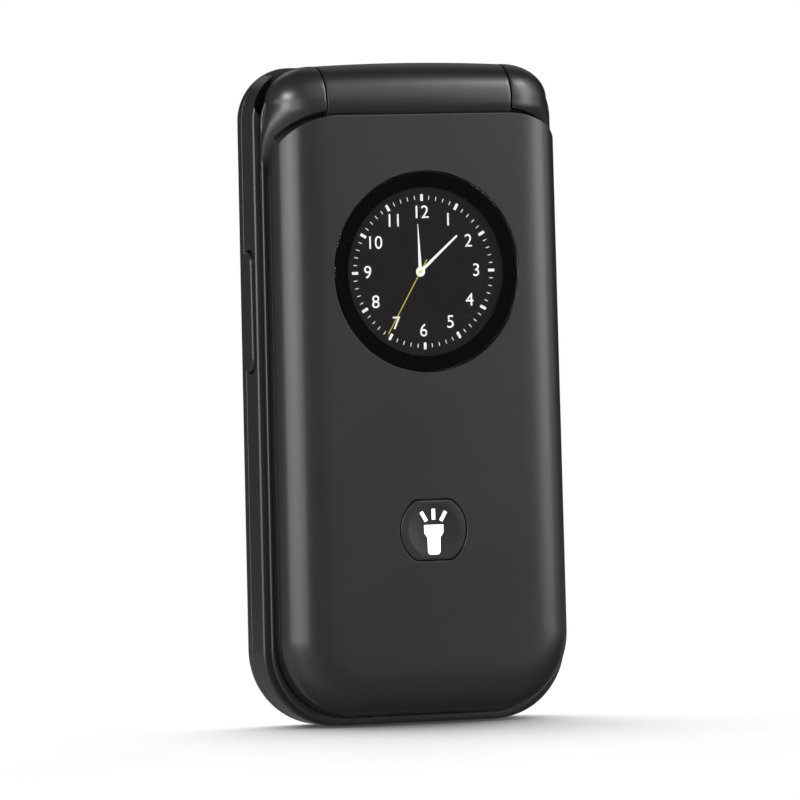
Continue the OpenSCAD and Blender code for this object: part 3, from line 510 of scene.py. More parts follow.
# Polished mineral glass: clear, with a sharp reflection
GLASS = material("cover_glass", "#ffffff", IOR=1.5, Roughness=0.0, Transmission_Weight=1.0)[0]
INK = black_ink()
DIAL_GROUND = lit_panel("dial_ground", "#0c0c0d", 0.006)
SCREEN_GROUND = lit_panel("screen_ground", "#08080a", 0.002)
LIT_WHITE = lit_ink("lit_white", "#f2f2f0", 0.55)
LIT_YELLOW = lit_ink("lit_yellow", "#d8cf4a", 0.35)
LIT_GREEN = lit_ink("lit_green", "#3fbf5a", 0.3)
LIT_RED = lit_ink("lit_red", "#d8433a", 0.3)
# White print, given a faint painted glow
PRINT_WITH_PAINTED_GLOW = white_print()
STEEL = stamped_steel()
BOARD = solder_mask()
# Moulded silicone rubber: dull, with a faint dusty bloom
RUBBER = moulded("silicone", "#3b3b3e", 0.3, 0.002, 0.6, 0.05, IOR=1.42, Sheen_Weight=0.15,
                 Sheen_Roughness=0.5)
# Nylon with glass fibre, moulded, for inner pieces: dull black with a coarse grain
NYLON = moulded("glass_filled_nylon", "#1c1c1e", 0.25, 0.003, 0.5, 0.05, IOR=1.53)
# Printed film shrunk round the cell: smooth, with slack ripples
WRAP = moulded("battery_wrap", "#2b4a70", 3.0, 0.02, 0.35, 0.05, IOR=1.5)
# Amber polyimide film over copper lines: smooth and a little cloudy
FILM = moulded("polyimide", "#a0602a", 0.5, 0.003, 0.3, 0.05, IOR=1.6)
# Yellow phosphor cast in clear resin: soft and waxy
LAMP = moulded("lamp_phosphor", "#e8dc8a", 0.2, 0.004, 0.35, 0.05, IOR=1.5, Subsurface_Weight=0.2,
               Subsurface_Radius=(0.5 * MM, 0.4 * MM, 0.2 * MM))

NODE_MATERIALS = {
    "satin_shell": SOFT_TOUCH, "frame_plastic": SATIN, "key_plastic": KEY, "window_glass": GLASS,
    "display": SCREEN_GROUND, "printed_black": INK, "board": BOARD, "steel": STEEL, "silicone": RUBBER,
    "battery_wrap": WRAP, "moulded_black": NYLON, "flex_film": FILM, "lamp": LAMP,
}


def dress_nodes():
    """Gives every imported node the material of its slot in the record."""
    for entry in frame["record"]["subparts"]:
        mesh = frame["nodes"][entry["node"]].data
        mesh.materials.clear()
        mesh.materials.append(NODE_MATERIALS[entry["material_slot"]])


def fitted(piece, finish, body, slot, *nodes):
    """Shades a piece, gives it its finish, and sets it on its body in place of the nodes it stands for."""
    smooth(piece)
    piece.data.materials.clear()
    piece.data.materials.append(finish)
    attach(piece, body)
    if nodes:
        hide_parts(*nodes)


# ---------------- front cover

def cover_profile(angle):
    """The cover's outline where its side has turned through the angle, on a curve that starts gently."""
    a = math.radians(angle)
    e = COVER_EASE * (1 - math.sin(a) ** (2 / COVER_EASE_POWER))
    depth = COVER_SIDE_D * (1 - math.cos(a))
    fall = max(1 - depth / COVER_TOP_EDGE, 0)
    top = COVER_TOP - COVER_TOP_EDGE * (1 - math.sqrt(1 - fall ** 2))
    return depth, outline(COVER_HALF - e, COVER_LIP + e, top, BOTTOM_R - e, (0.5, 0.5))


def cover_edge(grow=0.0, grow_top=0.0):
    """The cover's own outline, which trims the straight rolls of its sides at the upper corners."""
    return outline(COVER_HALF + grow, COVER_LIP - grow, COVER_TOP + grow_top, BOTTOM_R + grow,
                   (COVER_CORNER[0] + grow, COVER_CORNER[1] + grow_top))


def cover_inner(e):
    return outline(COVER_HALF - COVER_WALL - e, COVER_LIP + COVER_WALL + e, COVER_TOP - 4,
                   BOTTOM_R - COVER_WALL - e, (4, 4))


def lid_cover():
    rings = [cover_profile(90 * i / ROLL_STEPS) for i in range(ROLL_STEPS)]
    rings.append((COVER_BACK_D, cover_profile(90)[1]))
    cover = loft("lid_cover_shell", rings)
    trim = [(-1, cover_edge()), (COVER_BACK_D - EDGE, cover_edge())]
    trim += [(COVER_BACK_D - fall, cover_edge(-inset)) for fall, inset in round_over(EDGE)[::-1]]
    common(cover, loft("cover_trim", trim))
    hollow = loft("hollow", [(COVER_WALL, cover_inner(COVER_ROLL * 0.42)),
                             (COVER_WALL + 1.2, cover_inner(COVER_ROLL * 0.1)),
                             (COVER_SIDE_D + 1, cover_inner(0))])
    cut(hollow, shaft("wall", BARREL_R + HINGE_GAP + COVER_WALL, -HALF, HALF),
        prism("seat", disc(WINDOW_R + COVER_WALL, 0, WINDOW_Z), 0, 2.0))
    room_x = KNUCKLE_X + HINGE_GAP
    return cut(cover, hollow,
               shaft("barrel_room", BARREL_R + HINGE_GAP + 0.05, -room_x, room_x),
               shaft("knuckle_room", ELBOW_CORE + HINGE_GAP, -HALF, HALF),
               mouth("window_seat", disc(WINDOW_R + 0.05, 0, WINDOW_Z), 0, 1.15, 0.12),
               prism("dial_room", disc(DIAL_WINDOW_R, 0, WINDOW_Z), -1, LID_T),
               mouth("torch_room", lambda grow=0.0: torch_shape(SLIDE + grow), 0, LID_T, 0.14))


def torch_key():
    """The key's cap with its shallow dish, over a flange and a stem."""
    dish_r, step, edge = 60.0, 0.7, 0.22
    cap = prism("torch_key_cap", torch_shape, 0.02, 1.6, edge)
    angles = [math.radians(step * i) for i in range(10)]
    profile = [(dish_r * math.sin(a), edge - dish_r + dish_r * math.cos(a)) for a in angles]
    cut(cap, turned("dish", profile, 0, TORCH_Z, 96))
    return add(cap, prism("flange", lambda grow=0.0: torch_shape(0.8 + grow), 1.5, 2.1),
               prism("stem", disc(1.8, 0, TORCH_Z, 48), 2.0, depth_of(box("torch_key")[1].y)))


# ---------------- lid frame

def eased(keys, t):
    """A smooth curve through (t, value) keys."""
    i = max(k for k in range(len(keys) - 1) if keys[k][0] <= t)
    (t0, v0), (t1, v1) = keys[i], keys[i + 1]
    before = keys[i - 1] if i else keys[i]
    after = keys[i + 2] if i + 2 < len(keys) else keys[i + 1]
    slope0 = (v1 - before[1]) / (t1 - before[0])
    slope1 = (after[1] - v0) / (after[0] - t0)
    w, f = t1 - t0, (t - t0) / (t1 - t0)
    return ((2 * f ** 3 - 3 * f ** 2 + 1) * v0 + (f ** 3 - 2 * f ** 2 + f) * w * slope0
            + (3 * f ** 2 - 2 * f ** 3) * v1 + (f ** 3 - f ** 2) * w * slope1)


# An elbow is a dome on the end of its knuckle, with a leg below the axis that slims down into the rim. The
# leg's keys run from the axis to its foot: how far it stands out, how far it sinks, and how wide it grows.
DOME_START = 17.6
DOME_REACH = 8.0
ELBOW_FOOT = 89.0
LEG_STEPS = 40
LEG_RISE = ((-0.1, 5.87), (0, KNUCKLE_R), (0.1, 5.87), (0.25, 4.7), (0.38, 3.1), (0.5, 1.6), (0.7, 0.2),
            (1, 0.05))
LEG_SINK = ((0, 0), (0.25, 0), (0.5, 0.3), (0.7, 0.95), (1, 1.05))
LEG_GROWTH = ((-0.1, 0.28), (0, 0), (0.1, 0.28), (0.2, 0.62), (0.4, 1.0), (1, 1.05))


def elbow():
    """The left elbow of the lid frame."""
    end, turns = -KNUCKLE_X, quarter(30)
    profile = [(KNUCKLE_R - 0.14, end), (KNUCKLE_R - 0.04, end - 0.04), (KNUCKLE_R, end - 0.14)]
    profile += [(KNUCKLE_R * c, -DOME_START - DOME_REACH * s) for s, c in turns]
    rings = []
    for i in range(LEG_STEPS + 1):
        t = i / LEG_STEPS
        z = HINGE_Z - t * (HINGE_Z - ELBOW_FOOT)
        reach, rise = DOME_REACH + eased(LEG_GROWTH, t), eased(LEG_RISE, t)
        d = HINGE_D + eased(LEG_SINK, t)
        side = -DOME_START - reach
        ring = [(end, LID_T - 0.1), (end, d - rise)]
        ring += [(-DOME_START - reach * s, d - rise * c) for s, c in turns]
        ring += [(side, LID_T - 0.45), (side + 0.1, LID_T - 0.2), (side + 0.35, LID_T - 0.1)]
        rings.append([(x, depth, z) for x, depth in ring])
    return add(turned_on_hinge("elbow", profile), solid("leg", rings))


def rim_outline(f, inset=0.0):
    half, bottom = COVER_HALF + RIM_STEP * f - inset, COVER_LIP * (1 - f) + inset
    return outline(half, bottom, HINGE_Z + 5.2, BOTTOM_R + 0.5 * f - inset, (9.0, 9.0))


def cover_room():
    """Room for the cover in front of the rim, with the shadow gap that parts it from the elbows."""
    edge = cover_edge(ELBOW_GAP, ELBOW_GAP_TOP)
    room = loft("cover_room", [(-1, edge), (RIM_D, edge)])
    return cut(room, shaft("core", ELBOW_CORE, -HALF, HALF))


def lid_frame():
    """The rim with its trench beside the cover, the elbows, and the seats in its inner side."""
    floor_d = RIM_LEDGE_D + TRENCH_DEPTH
    rings = [(RIM_D, rim_outline(0, 0.8)), (floor_d, rim_outline(0, 0.9)),
             (floor_d, rim_outline(TRENCH_END)), (RIM_LEDGE_D + 0.05, rim_outline(TRENCH_END + 0.02)),
             (RIM_LEDGE_D, rim_outline(0.34)), (RIM_LEDGE_D, rim_outline(RIM_FLAT))]
    rings += [(RIM_LEDGE_D + 0.28 * (1 - c), rim_outline(RIM_FLAT + (1 - RIM_FLAT) * s))
              for s, c in quarter(6)[1:]]
    rings += [(LID_T - 0.3 * (1 - s), rim_outline(1 - 0.3 * (1 - c))) for s, c in quarter(4)[1:]]
    rim = loft("lid_frame_moulding", rings)
    cut(rim, shaft("barrel_room", BARREL_R + HINGE_GAP, -KNUCKLE_X, KNUCKLE_X))
    elbows = elbow()
    add(elbows, mirrored(elbows))
    cut(elbows, cover_room())
    add(rim, elbows)
    hollow = loft("hollow", [(COVER_SIDE_D - 1, cover_inner(0)), (LID_T - 1.9, cover_inner(0))])
    cut(hollow, shaft("wall", BARREL_R + HINGE_GAP + COVER_WALL, -HALF, HALF))
    screen_d = depth_of(box("display_glass")[0].y)
    tools = [hollow, back_mouth("screen_room", seat("display_glass", 2.5), screen_d, LID_T, 0.1),
             prism("lcd_room", seat("main_display", 0.8), 0, LID_T),
             back_mouth("ear_slot", slab(11, 1.4, 0.69, 0, middle("earpiece").z), 0, LID_T, 0.12)]
    low, high = box("lid_bumpers")
    for x in (low.x + BUMPER_R, high.x - BUMPER_R):
        for z in (low.z + BUMPER_R, high.z - BUMPER_R):
            shape = disc(BUMPER_R + CLEAR, x, z, 48)
            tools.append(back_mouth("bumper_seat", shape, LID_T - 1.2, LID_T, 0.1))
    return cut(rim, *tools)


# ---------------- base housings

# Radius of the base's pocket for an elbow, from the barrel's end outwards
POCKET = ((BARREL_HALF, 6.5), (19.0, 6.4), (21.0, 5.95), (22.4, 5.4), (24.0, 4.72), (25.9, 3.1),
          (27.2, 1.9))


def pockets():
    """Room that the base leaves round both elbows as they turn on the hinge."""
    steps = 60
    places = [BARREL_HALF + (POCKET[-1][0] - BARREL_HALF - 0.001) * i / steps for i in range(steps + 1)]
    right = turned_on_hinge("pocket", [(eased(POCKET, x), x) for x in places])
    return [right, mirrored(right)]


def barrel():
    """The crowned middle of the hinge, with small rounded ends."""
    steps, edge = 32, 0.12
    profile = [(BARREL_R - BARREL_CROWN * (i / steps) ** 2, i / steps * (BARREL_HALF - edge))
               for i in range(-steps, steps + 1)]
    for s, c in quarter(3)[1:]:
        r, x = BARREL_R - BARREL_CROWN - edge * (1 - c), BARREL_HALF - edge * (1 - s)
        profile = [(r, -x)] + profile + [(r, x)]
    return turned_on_hinge("barrel", profile, 192)


def cover_passage():
    """What the base gives up above the hinge web, so that the cover's edge can pass."""
    above = (HINGE_Z + WEB_RISE, LENGTH + 5)
    wide, narrow = 24.3, 23.2
    return [block("passage", (-narrow, narrow), (BASE_D - 1, SEAM_D + 1), above),
            block("passage_mouth", (-wide, wide), (BASE_D - 1, BASE_D + 1.2), above)]


def rocker_slot(name, width, length, x0, x1, edge=0.0):
    """The volume rocker's slot, run in from the left side."""
    place = middle("volume_rocker")
    shape = slab(width, length, width / 2 - 0.01, depth_of(place.y), place.z, 16)
    front = round_over(edge) if edge else [(0, 0)]
    rings = [[(x0 + fall, depth, z) for depth, z in shape(-inset)] for fall, inset in front]
    return solid(name, rings + [[(x1, depth, z) for depth, z in shape(0)]])


SIDE_X = -narrowed(HALF, middle("volume_rocker").z)
ROCKER_SLOT = (5.4, 21.0)


def rocker_tools():
    """The rocker's slot, and the room behind it for its flange and switches."""
    z, depth = middle("volume_rocker").z, depth_of(middle("volume_rocker").y)
    return [rocker_slot("slot", *ROCKER_SLOT, SIDE_X - 1, SIDE_X + SIDE_WALL + 1),
            block("room", (SIDE_X + SIDE_WALL, -23.3), (depth - 2.2, depth + 2.2), (z - 12.5, z + 12.5))]


def usb_opening(top):
    low, high = box("usb_socket")
    depth = depth_of((low.y + high.y) / 2)
    w, h = high.x - low.x + 0.6, high.y - low.y + 0.6
    shape = slab(w, h, h / 2 - 0.01, 0, depth, 16)
    rings = []
    for z, grow in ((-1, 0.2), (0, 0.2), (0.06, 0.08), (0.2, 0), (top, 0)):
        rings.append([(x, d, z) for x, d in shape(grow)])
    return solid("usb_opening", rings)


def base_cavity(near, far):
    inner = outline(HALF - SIDE_WALL, SIDE_WALL, HINGE_Z - BARREL_R - 2, BOTTOM_R - SIDE_WALL, (2, 2))
    return loft("cavity", [(near, inner), (far, inner)])


KEYS = [name for name in frame["nodes"] if name.startswith("key_")]
KEY_LIP = 0.6                # how far a key's flange reaches past its cap
FLANGE_RISE = 0.45           # from a key's back to the front of its flange
FLANGE_T = 0.3
# A key top's face: how far in from its side, and how far below its crown
KEY_CROWN = ((2.4, 0.0), (1.6, 0.02), (0.9, 0.06), (0.45, 0.12), (0.2, 0.2), (0.05, 0.34), (0, 0.5))


def key_place(name):
    """Middle X and Z of a key's cap, and its width and height."""
    (low, high), place = box(name), middle(name)
    return place.x, place.z, high.x - low.x - 2 * KEY_LIP, high.z - low.z - 2 * KEY_LIP


def keypad_frame():
    """The base's front housing: its keypad deck, the barrel, and the rooms for elbows and cover."""
    rings = [(BASE_D + fall, base_outline(inset)) for fall, inset in round_over(FRAME_EDGE, 6)]
    rings += [(SEAM_D - fall, base_outline(inset)) for fall, inset in round_over(EDGE)[::-1]]
    housing = loft("keypad_frame_moulding", rings)
    cut(housing, *pockets(), *cover_passage())
    add(housing, barrel())
    keys = [key_place(name) for name in KEYS if name != "key_ok"]
    deck_bottom = min(z - h / 2 for x, z, w, h in keys) - 3.6
    deck_top = max(z + h / 2 for x, z, w, h in keys) + 2.8
    deck = slab(WIDTH - 6.4, deck_top - deck_bottom, 5, 0, (deck_bottom + deck_top) / 2, 16)
    deck_d = BASE_D + 0.4
    tools = [base_cavity(BASE_D + 1.2, SEAM_D + 1), mouth("deck", deck, BASE_D, deck_d)]
    for x, z, w, h in keys:
        room = slab(w + 2 * SLIDE, h + 2 * SLIDE, 2.2, x, z)
        tools.append(mouth("key_room", room, deck_d, BASE_D + 3, 0.12))
    ring = disc(RING_R + SLIDE, 0, middle("nav_ring").z)
    tools.append(mouth("ring_room", ring, deck_d, BASE_D + 3, 0.12))
    mic = middle("microphone")
    tools.append(turned("mic_hole", [(MIC_R, BASE_D - 1), (MIC_R, SEAM_D)], mic.x, mic.z, 24))
    return cut(housing, *tools, *rocker_tools(), usb_opening(SIDE_WALL + 1))


def base_housing():
    """The base's rear housing: battery bay, upper bay, seats and slots in the back."""
    rings = [(SEAM_D + SEAM + fall, base_outline(inset)) for fall, inset in round_over(EDGE)]
    reach, rise = BACK_ROLL
    rings += [(THICKNESS - rise * (1 - s), base_outline(reach * (1 - c)))
              for s, c in quarter(ROLL_STEPS)[1:]]
    housing = loft("base_housing_moulding", rings)
    low, high = box("battery_cover")
    bay_low, bay_high = low.z + 3.0, high.z - 1.1
    upper = middle("camera_window").z
    window_r = upper - box("camera_window")[0].z
    lower = loft("lower_bay", [(d, base_outline(2.4)) for d in (SEAM_D - 1, THICKNESS - REAR_WALL - 1)])
    common(lower, block("limit", (-20, 20), (0, THICKNESS + 5), (0, bay_low - 1)))
    bay = slab(BAY_WIDTH, bay_high - bay_low, 2, 0, (bay_low + bay_high) / 2)
    window = seat("camera_window", window_r, 16)
    tools = [back_mouth("panel_seat", panel_shape, THICKNESS - PANEL_SEAT, THICKNESS, 0.1),
             prism("bay", bay, BAY_D, THICKNESS),
             prism("upper_bay", slab(*UPPER_BAY, 0.5, 0, upper), SEAM_D - 1, THICKNESS - REAR_WALL), lower,
             back_mouth("window_seat", window, THICKNESS - 0.85, THICKNESS, 0.1)]
    for name, r in (("camera_module", LENS_R), ("torch_led", LAMP_R)):
        tools.append(turned("lens_room", [(r, 17), (r, 19.2)], middle(name).x, upper))
    speaker = middle("loudspeaker")
    for i in range(-2, 3):
        slot = slab(*SPEAKER_SLOT, 0.44, speaker.x + 2 * i, upper)
        tools.append(back_mouth("speaker_slot", slot, THICKNESS - REAR_WALL - 1, THICKNESS, 0.15))
    notch_r = 2.6
    angles = [math.radians(10 * i) for i in range(19)]
    profile = [(notch_r * math.sin(a), THICKNESS + 1.0 - notch_r * math.cos(a)) for a in angles]
    tools.append(turned("notch", profile, 0, high.z + CLEAR, 48))
    return cut(housing, *pockets(), *tools, *rocker_tools(), usb_opening(7.6))


def battery_cover():
    """The cover's panel, with a rail on each side that guides it into the bay."""
    panel = prism("battery_cover_panel", lambda grow=0.0: panel_shape(grow - CLEAR), THICKNESS - 1.25,
                  THICKNESS, 0.0, 0.12)
    low, high = box("battery_cover")
    rail_x, thick = 43.6 / 2 + CLEAR, 0.3
    for x0, x1 in ((-rail_x - thick, -rail_x), (rail_x, rail_x + thick)):
        add(panel, block("rail", (x0, x1), (depth_of(low.y), THICKNESS - 1.1), (low.z + 11, high.z - 13)))
    return panel


def volume_rocker():
    """A long key with rounded ends, proud of the side, over its flange."""
    place = middle("volume_rocker")
    z, depth, gap = place.z, depth_of(place.y), 0.4
    inner = SIDE_X + SIDE_WALL + gap
    key = rocker_slot("volume_rocker_key", ROCKER_SLOT[0] - 2 * gap, ROCKER_SLOT[1] - 2 * gap,
                      box("volume_rocker")[0].x, inner + 0.01, 0.35)
    return add(key, block("flange", (inner, inner + 0.6), (depth - 2, depth + 2), (z - 11.7, z + 11.7)))


# ---------------- clock window

def window_glass():
    return prism("window_glass_disc", disc(WINDOW_R - 0.05, 0, WINDOW_Z, 144), 0.0, 1.0, 0.12, 0.1)


DIAL_D = depth_of(box("dial_display")[0].y)
DIAL_R = 12.55
HOUR_MARK = (1.14, 0.47)     # length and width
MINUTE_MARK = (0.66, 0.12)
NUMERALS_R = 10.0
NUMERAL_SIZE = 2.25
HANDS_X = -0.55


def dial_module():
    """The round display: a shallow tray with a stepped front edge that holds its dark panel."""
    profile = [(0, 0), (15.4, 0), (15.6, 0.2), (15.8, 0.2), (15.8, 1.6), (0, 1.6)]
    return turned("dial_module", [(r, DIAL_D + depth) for r, depth in profile], 0, WINDOW_Z, 128)


def strip(points, z_from=WINDOW_Z, lift=0.02, thick=0.015, depth=None):
    """A thin flat shape on the dial: its ring at the front and its ring behind."""
    d = (DIAL_D if depth is None else depth) - lift
    return [[(x, d - thick, z + z_from) for x, z in points], [(x, d, z + z_from) for x, z in points]]


def joined(name, parts):
    """Several closed shapes as one piece; each part is a list of rings."""
    return merged(name, [solid(name, rings) for rings in parts])


def turned_clockwise(x, z, degrees):
    a = math.radians(degrees)
    return x * math.cos(a) + z * math.sin(a), -x * math.sin(a) + z * math.cos(a)


def dial_ticks():
    """Sixty marks round the dial, with a bolder one at each hour."""
    parts = []
    for minute in range(60):
        length, width = HOUR_MARK if minute % 5 == 0 else MINUTE_MARK
        corners = [(-width / 2, DIAL_R - length / 2), (width / 2, DIAL_R - length / 2),
                   (width / 2, DIAL_R + length / 2), (-width / 2, DIAL_R + length / 2)]
        parts.append(strip([turned_clockwise(x, z, 6 * minute) for x, z in corners]))
    return joined("dial_ticks", parts)


def hand(name, length, root, tip, degrees, tail=0.0, lift=0.05):
    """A tapered hand on the dial, drawn from its root's width to its tip's."""
    corners = [(-root / 2, -tail), (root / 2, -tail), (tip / 2, length), (-tip / 2, length)]
    points = [turned_clockwise(x, z, degrees) for x, z in corners]
    return solid(name, strip([(x + HANDS_X, z) for x, z in points], lift=lift))


def lettering(name, text, size, x, z, depth, thick=0.015):
    """Plain numerals as a thin flat mesh that faces the front; size is the height of a numeral."""
    curve = bpy.data.curves.new(name, "FONT")
    curve.body = text
    curve.align_x = "CENTER"
    curve.align_y = "CENTER"
    curve.size = size / 0.73 * MM
    curve.extrude = thick / 2 * MM
    curve.resolution_u = 6
    shown = placed(name, curve)
    upright = Matrix.Rotation(math.radians(90), 4, "X")
    shown.matrix_world = Matrix.Translation(Vector((x, depth + FRONT, z)) * MM) @ upright
    bpy.context.view_layer.update()
    mesh = bpy.data.meshes.new_from_object(shown.evaluated_get(bpy.context.evaluated_depsgraph_get()))
    mesh.transform(shown.matrix_world)
    bpy.data.objects.remove(shown)
    return placed(name, mesh)


def dial_numerals():
    pieces = []
    for hour in range(1, 13):
        x, z = turned_clockwise(0, NUMERALS_R, 30 * hour)
        pieces.append(lettering("numeral", str(hour), NUMERAL_SIZE, x + HANDS_X * 0.4, WINDOW_Z + z,
                                DIAL_D - 0.03))
    return merged("dial_numerals", pieces)


def clock():
    """Everything that the round display shows, and the glass over it."""
    fitted(window_glass(), GLASS, "lid", "window_glass", "window_glass")
    fitted(dial_module(), DIAL_GROUND, "lid", "display", "dial_display")
    shown = [(dial_ticks(), LIT_WHITE), (dial_numerals(), LIT_WHITE),
             (hand("hour_hand", 8.1, 0.62, 0.1, -2), LIT_WHITE),
             (hand("minute_hand", 9.15, 0.5, 0.3, 49), LIT_WHITE),
             (hand("second_hand", 12.1, 0.14, 0.14, 210.7, 2.4, 0.08), LIT_YELLOW)]
    for name, finish, r, front, back, steps in (("dial_hub", LIT_WHITE, 0.82, 0.12, 0.06, 48),
                                                ("dial_hub_dot", LIT_YELLOW, 0.3, 0.15, 0.12, 32)):
        profile = [(0, DIAL_D - front), (r, DIAL_D - front), (r, DIAL_D - back), (0, DIAL_D - back)]
        shown.append((turned(name, profile, HANDS_X, WINDOW_Z, steps), finish))
    for piece, finish in shown:
        fitted(piece, finish, "lid", "display")


def torch_symbol():
    """A plain torch with three rays, printed on its key."""
    side = [(1.78, 0.95), (1.76, -0.42), (1.2, -1.22), (1.14, -3.7), (0.8, -4.1)]
    body = [(-1.78, 0.95)] + side + [(-x, z) for x, z in side[:0:-1]]
    parts = [strip(body, TORCH_Z - 0.05, 0.0, 0.012, 0.02)]
    for degrees in (-30, 0, 30):
        shift = 0.9 * math.sin(math.radians(degrees))
        corners = ((-0.32, 1.75), (0.32, 1.75), (0.32, 3.6), (-0.32, 3.6))
        ray = [turned_clockwise(x, z, degrees) for x, z in corners]
        parts.append(strip([(x + shift, z) for x, z in ray], TORCH_Z, 0.0, 0.012, 0.02))
    return joined("torch_symbol", parts)


# ---------------- keys

def key_cap(name):
    """A key top with a crowned face and rounded edges, over its retaining flange."""
    x, z, w, h = key_place(name)
    top = depth_of(box(name)[0].y)
    flange = depth_of(box(name)[1].y) - FLANGE_RISE
    is_ok = name == "key_ok"
    shape = disc(w / 2, x, z, 72) if is_ok else slab(w, h, 2, x, z, 10)
    rings = [(top + drop, shape(-inset)) for inset, drop in KEY_CROWN]
    cap = loft(name + "_cap", rings + [(flange, shape(0))])
    lip = KEY_LIP - SLIDE if is_ok else KEY_LIP
    return add(cap, prism("flange", lambda grow=0.0: shape(lip + grow), flange - 0.01, flange + FLANGE_T))


def nav_ring():
    """The four-way ring: a dished face that rises to its outer edge, over its flange."""
    low, high = box("nav_ring")
    z, top, flange = (low.z + high.z) / 2, depth_of(low.y), depth_of(high.y) - FLANGE_RISE
    inner, outer, steps = 4.7, RING_R, 120
    profile = [(inner, flange), (inner, top + 0.45), (inner + 0.15, top + 0.3), (inner + 1.2, top + 0.22),
               (inner + 2.6, top + 0.12), (outer - 1.2, top), (outer - 0.5, top + 0.03),
               (outer - 0.15, top + 0.16), (outer, top + 0.4), (outer, flange), (outer + KEY_LIP, flange),
               (outer + KEY_LIP, flange + FLANGE_T), (inner + KEY_LIP + 0.2, flange + FLANGE_T),
               (inner + KEY_LIP + 0.2, flange)]
    rings = [[(u * r, depth, z + v * r) for r, depth in profile] for u, v in circle(1.0, steps)]
    return solid("nav_ring_key", rings, endless=True)


def key_legend(name):
    """The legend of a key, and what it is lit with."""
    x, z = middle(name).xz
    face = depth_of(box(name)[0].y)
    text = {"key_star": "*", "key_hash": "#", "key_ok": "OK"}.get(name, name[4:])
    if len(text) < 3:
        size = 4.2 if text.isdigit() else 3.0
        drop = 1.2 if text == "*" else 0
        return lettering(name + "_legend", text, size, x, z - drop, face - 0.01, 0.03), LIT_WHITE
    if name in ("key_call", "key_end"):
        return handset(name, x, z, face), LIT_GREEN if name == "key_call" else LIT_RED
    corners = [(x - 1.6, z - 0.22), (x + 1.6, z - 0.22), (x + 1.6, z + 0.22), (x - 1.6, z + 0.22)]
    return joined(name + "_legend", [strip(corners, 0, 0.0, 0.03, face)]), LIT_WHITE


def keypad():
    for name in KEYS:
        fitted(key_cap(name), KEY, name, "key_plastic", name)
        legend, finish = key_legend(name)
        fitted(legend, finish, name, "key_plastic")
    fitted(nav_ring(), KEY, "nav_ring", "key_plastic", "nav_ring")
    marks = []
    for degrees in (0, 90, 180, 270):
        arrow = [turned_clockwise(x, z, degrees) for x, z in ((-0.8, 6.9), (0.8, 6.9), (0, 7.9))]
        marks.append(strip(arrow, middle("nav_ring").z, 0.0, 0.04, depth_of(box("nav_ring")[0].y) + 0.09))
    fitted(joined("nav_ring_legend", marks), LIT_WHITE, "nav_ring", "key_plastic")


def handset(name, x, z, face):
    """A plain telephone handset: a bowed bar between an earpiece and a mouthpiece."""
    points = arc(0, -2.6, 3.0, 3.0, 35, 110, 12)
    points += [(-2.75, -1.5), (-1.45, -1.35), (-1.2, -0.55)] + arc(0, -2.6, 2.2, 2.2, 120, -60, 8)
    points += [(1.2, -0.55), (1.45, -1.35), (2.75, -1.5)]
    turn = -45 if name == "key_call" else 0
    shown = [turned_clockwise(px, pz + 1.2, turn) for px, pz in points]
    return joined(name + "_legend", [strip([(x + px, z + pz) for px, pz in shown], 0, 0.0, 0.03, face)])


# ---------------- building

def build():
    dress_nodes()
    fitted(lid_cover(), SOFT_TOUCH, "lid", "satin_shell", "lid_cover")
    fitted(lid_frame(), SATIN, "lid", "frame_plastic", "lid_frame")
    fitted(keypad_frame(), SATIN, "base", "frame_plastic", "keypad_frame")
    fitted(base_housing(), SOFT_TOUCH, "base", "satin_shell", "base_housing")
    fitted(battery_cover(), SOFT_TOUCH, "battery_cover", "satin_shell", "battery_cover")
    fitted(torch_key(), SOFT_TOUCH, "torch_key", "satin_shell", "torch_key")
    fitted(torch_symbol(), PRINT_WITH_PAINTED_GLOW, "torch_key", "satin_shell")
    fitted(volume_rocker(), SATIN, "volume_rocker", "frame_plastic", "volume_rocker")
    clock()
    keypad()


# ---------------- studio

# Direction for the floor's painted shadow: its tilt back from upright, and its turn about the vertical
PAINTED_SHADOW_TILT = 55.0
PAINTED_SHADOW_TURN = 23.0


def bare_tree(owner):
    """The node tree of a material or world, emptied."""
    owner.use_nodes = True
    owner.node_tree.nodes.clear()
    return owner.node_tree


def seen(tree):
    """1 for a ray that sees the white studio: from the camera, off a reflection or through glass."""
    path = node(tree, "ShaderNodeLightPath")
    direct = node(tree, "ShaderNodeMath", [(0, path, "Is Camera Ray"), (1, path, "Is Glossy Ray")],
                  operation="MAXIMUM")
    return node(tree, "ShaderNodeMath", [(0, direct, "Value"), (1, path, "Is Transmission Ray")],
                operation="MAXIMUM")


def staged(name, points, faces, made):
    """A sheet of the studio, which shades nothing."""
    mesh = bpy.data.meshes.new(name)
    mesh.from_pydata(points, [], faces)
    mesh.materials.append(made)
    piece = placed(name, mesh)
    piece.visible_shadow = False
    return piece


def level(reach, y0, y1, z=0.0):
    """Points and face of a level sheet."""
    return [(-reach, y0, z), (reach, y0, z), (reach, y1, z), (-reach, y1, z)], [(0, 1, 2, 3)]


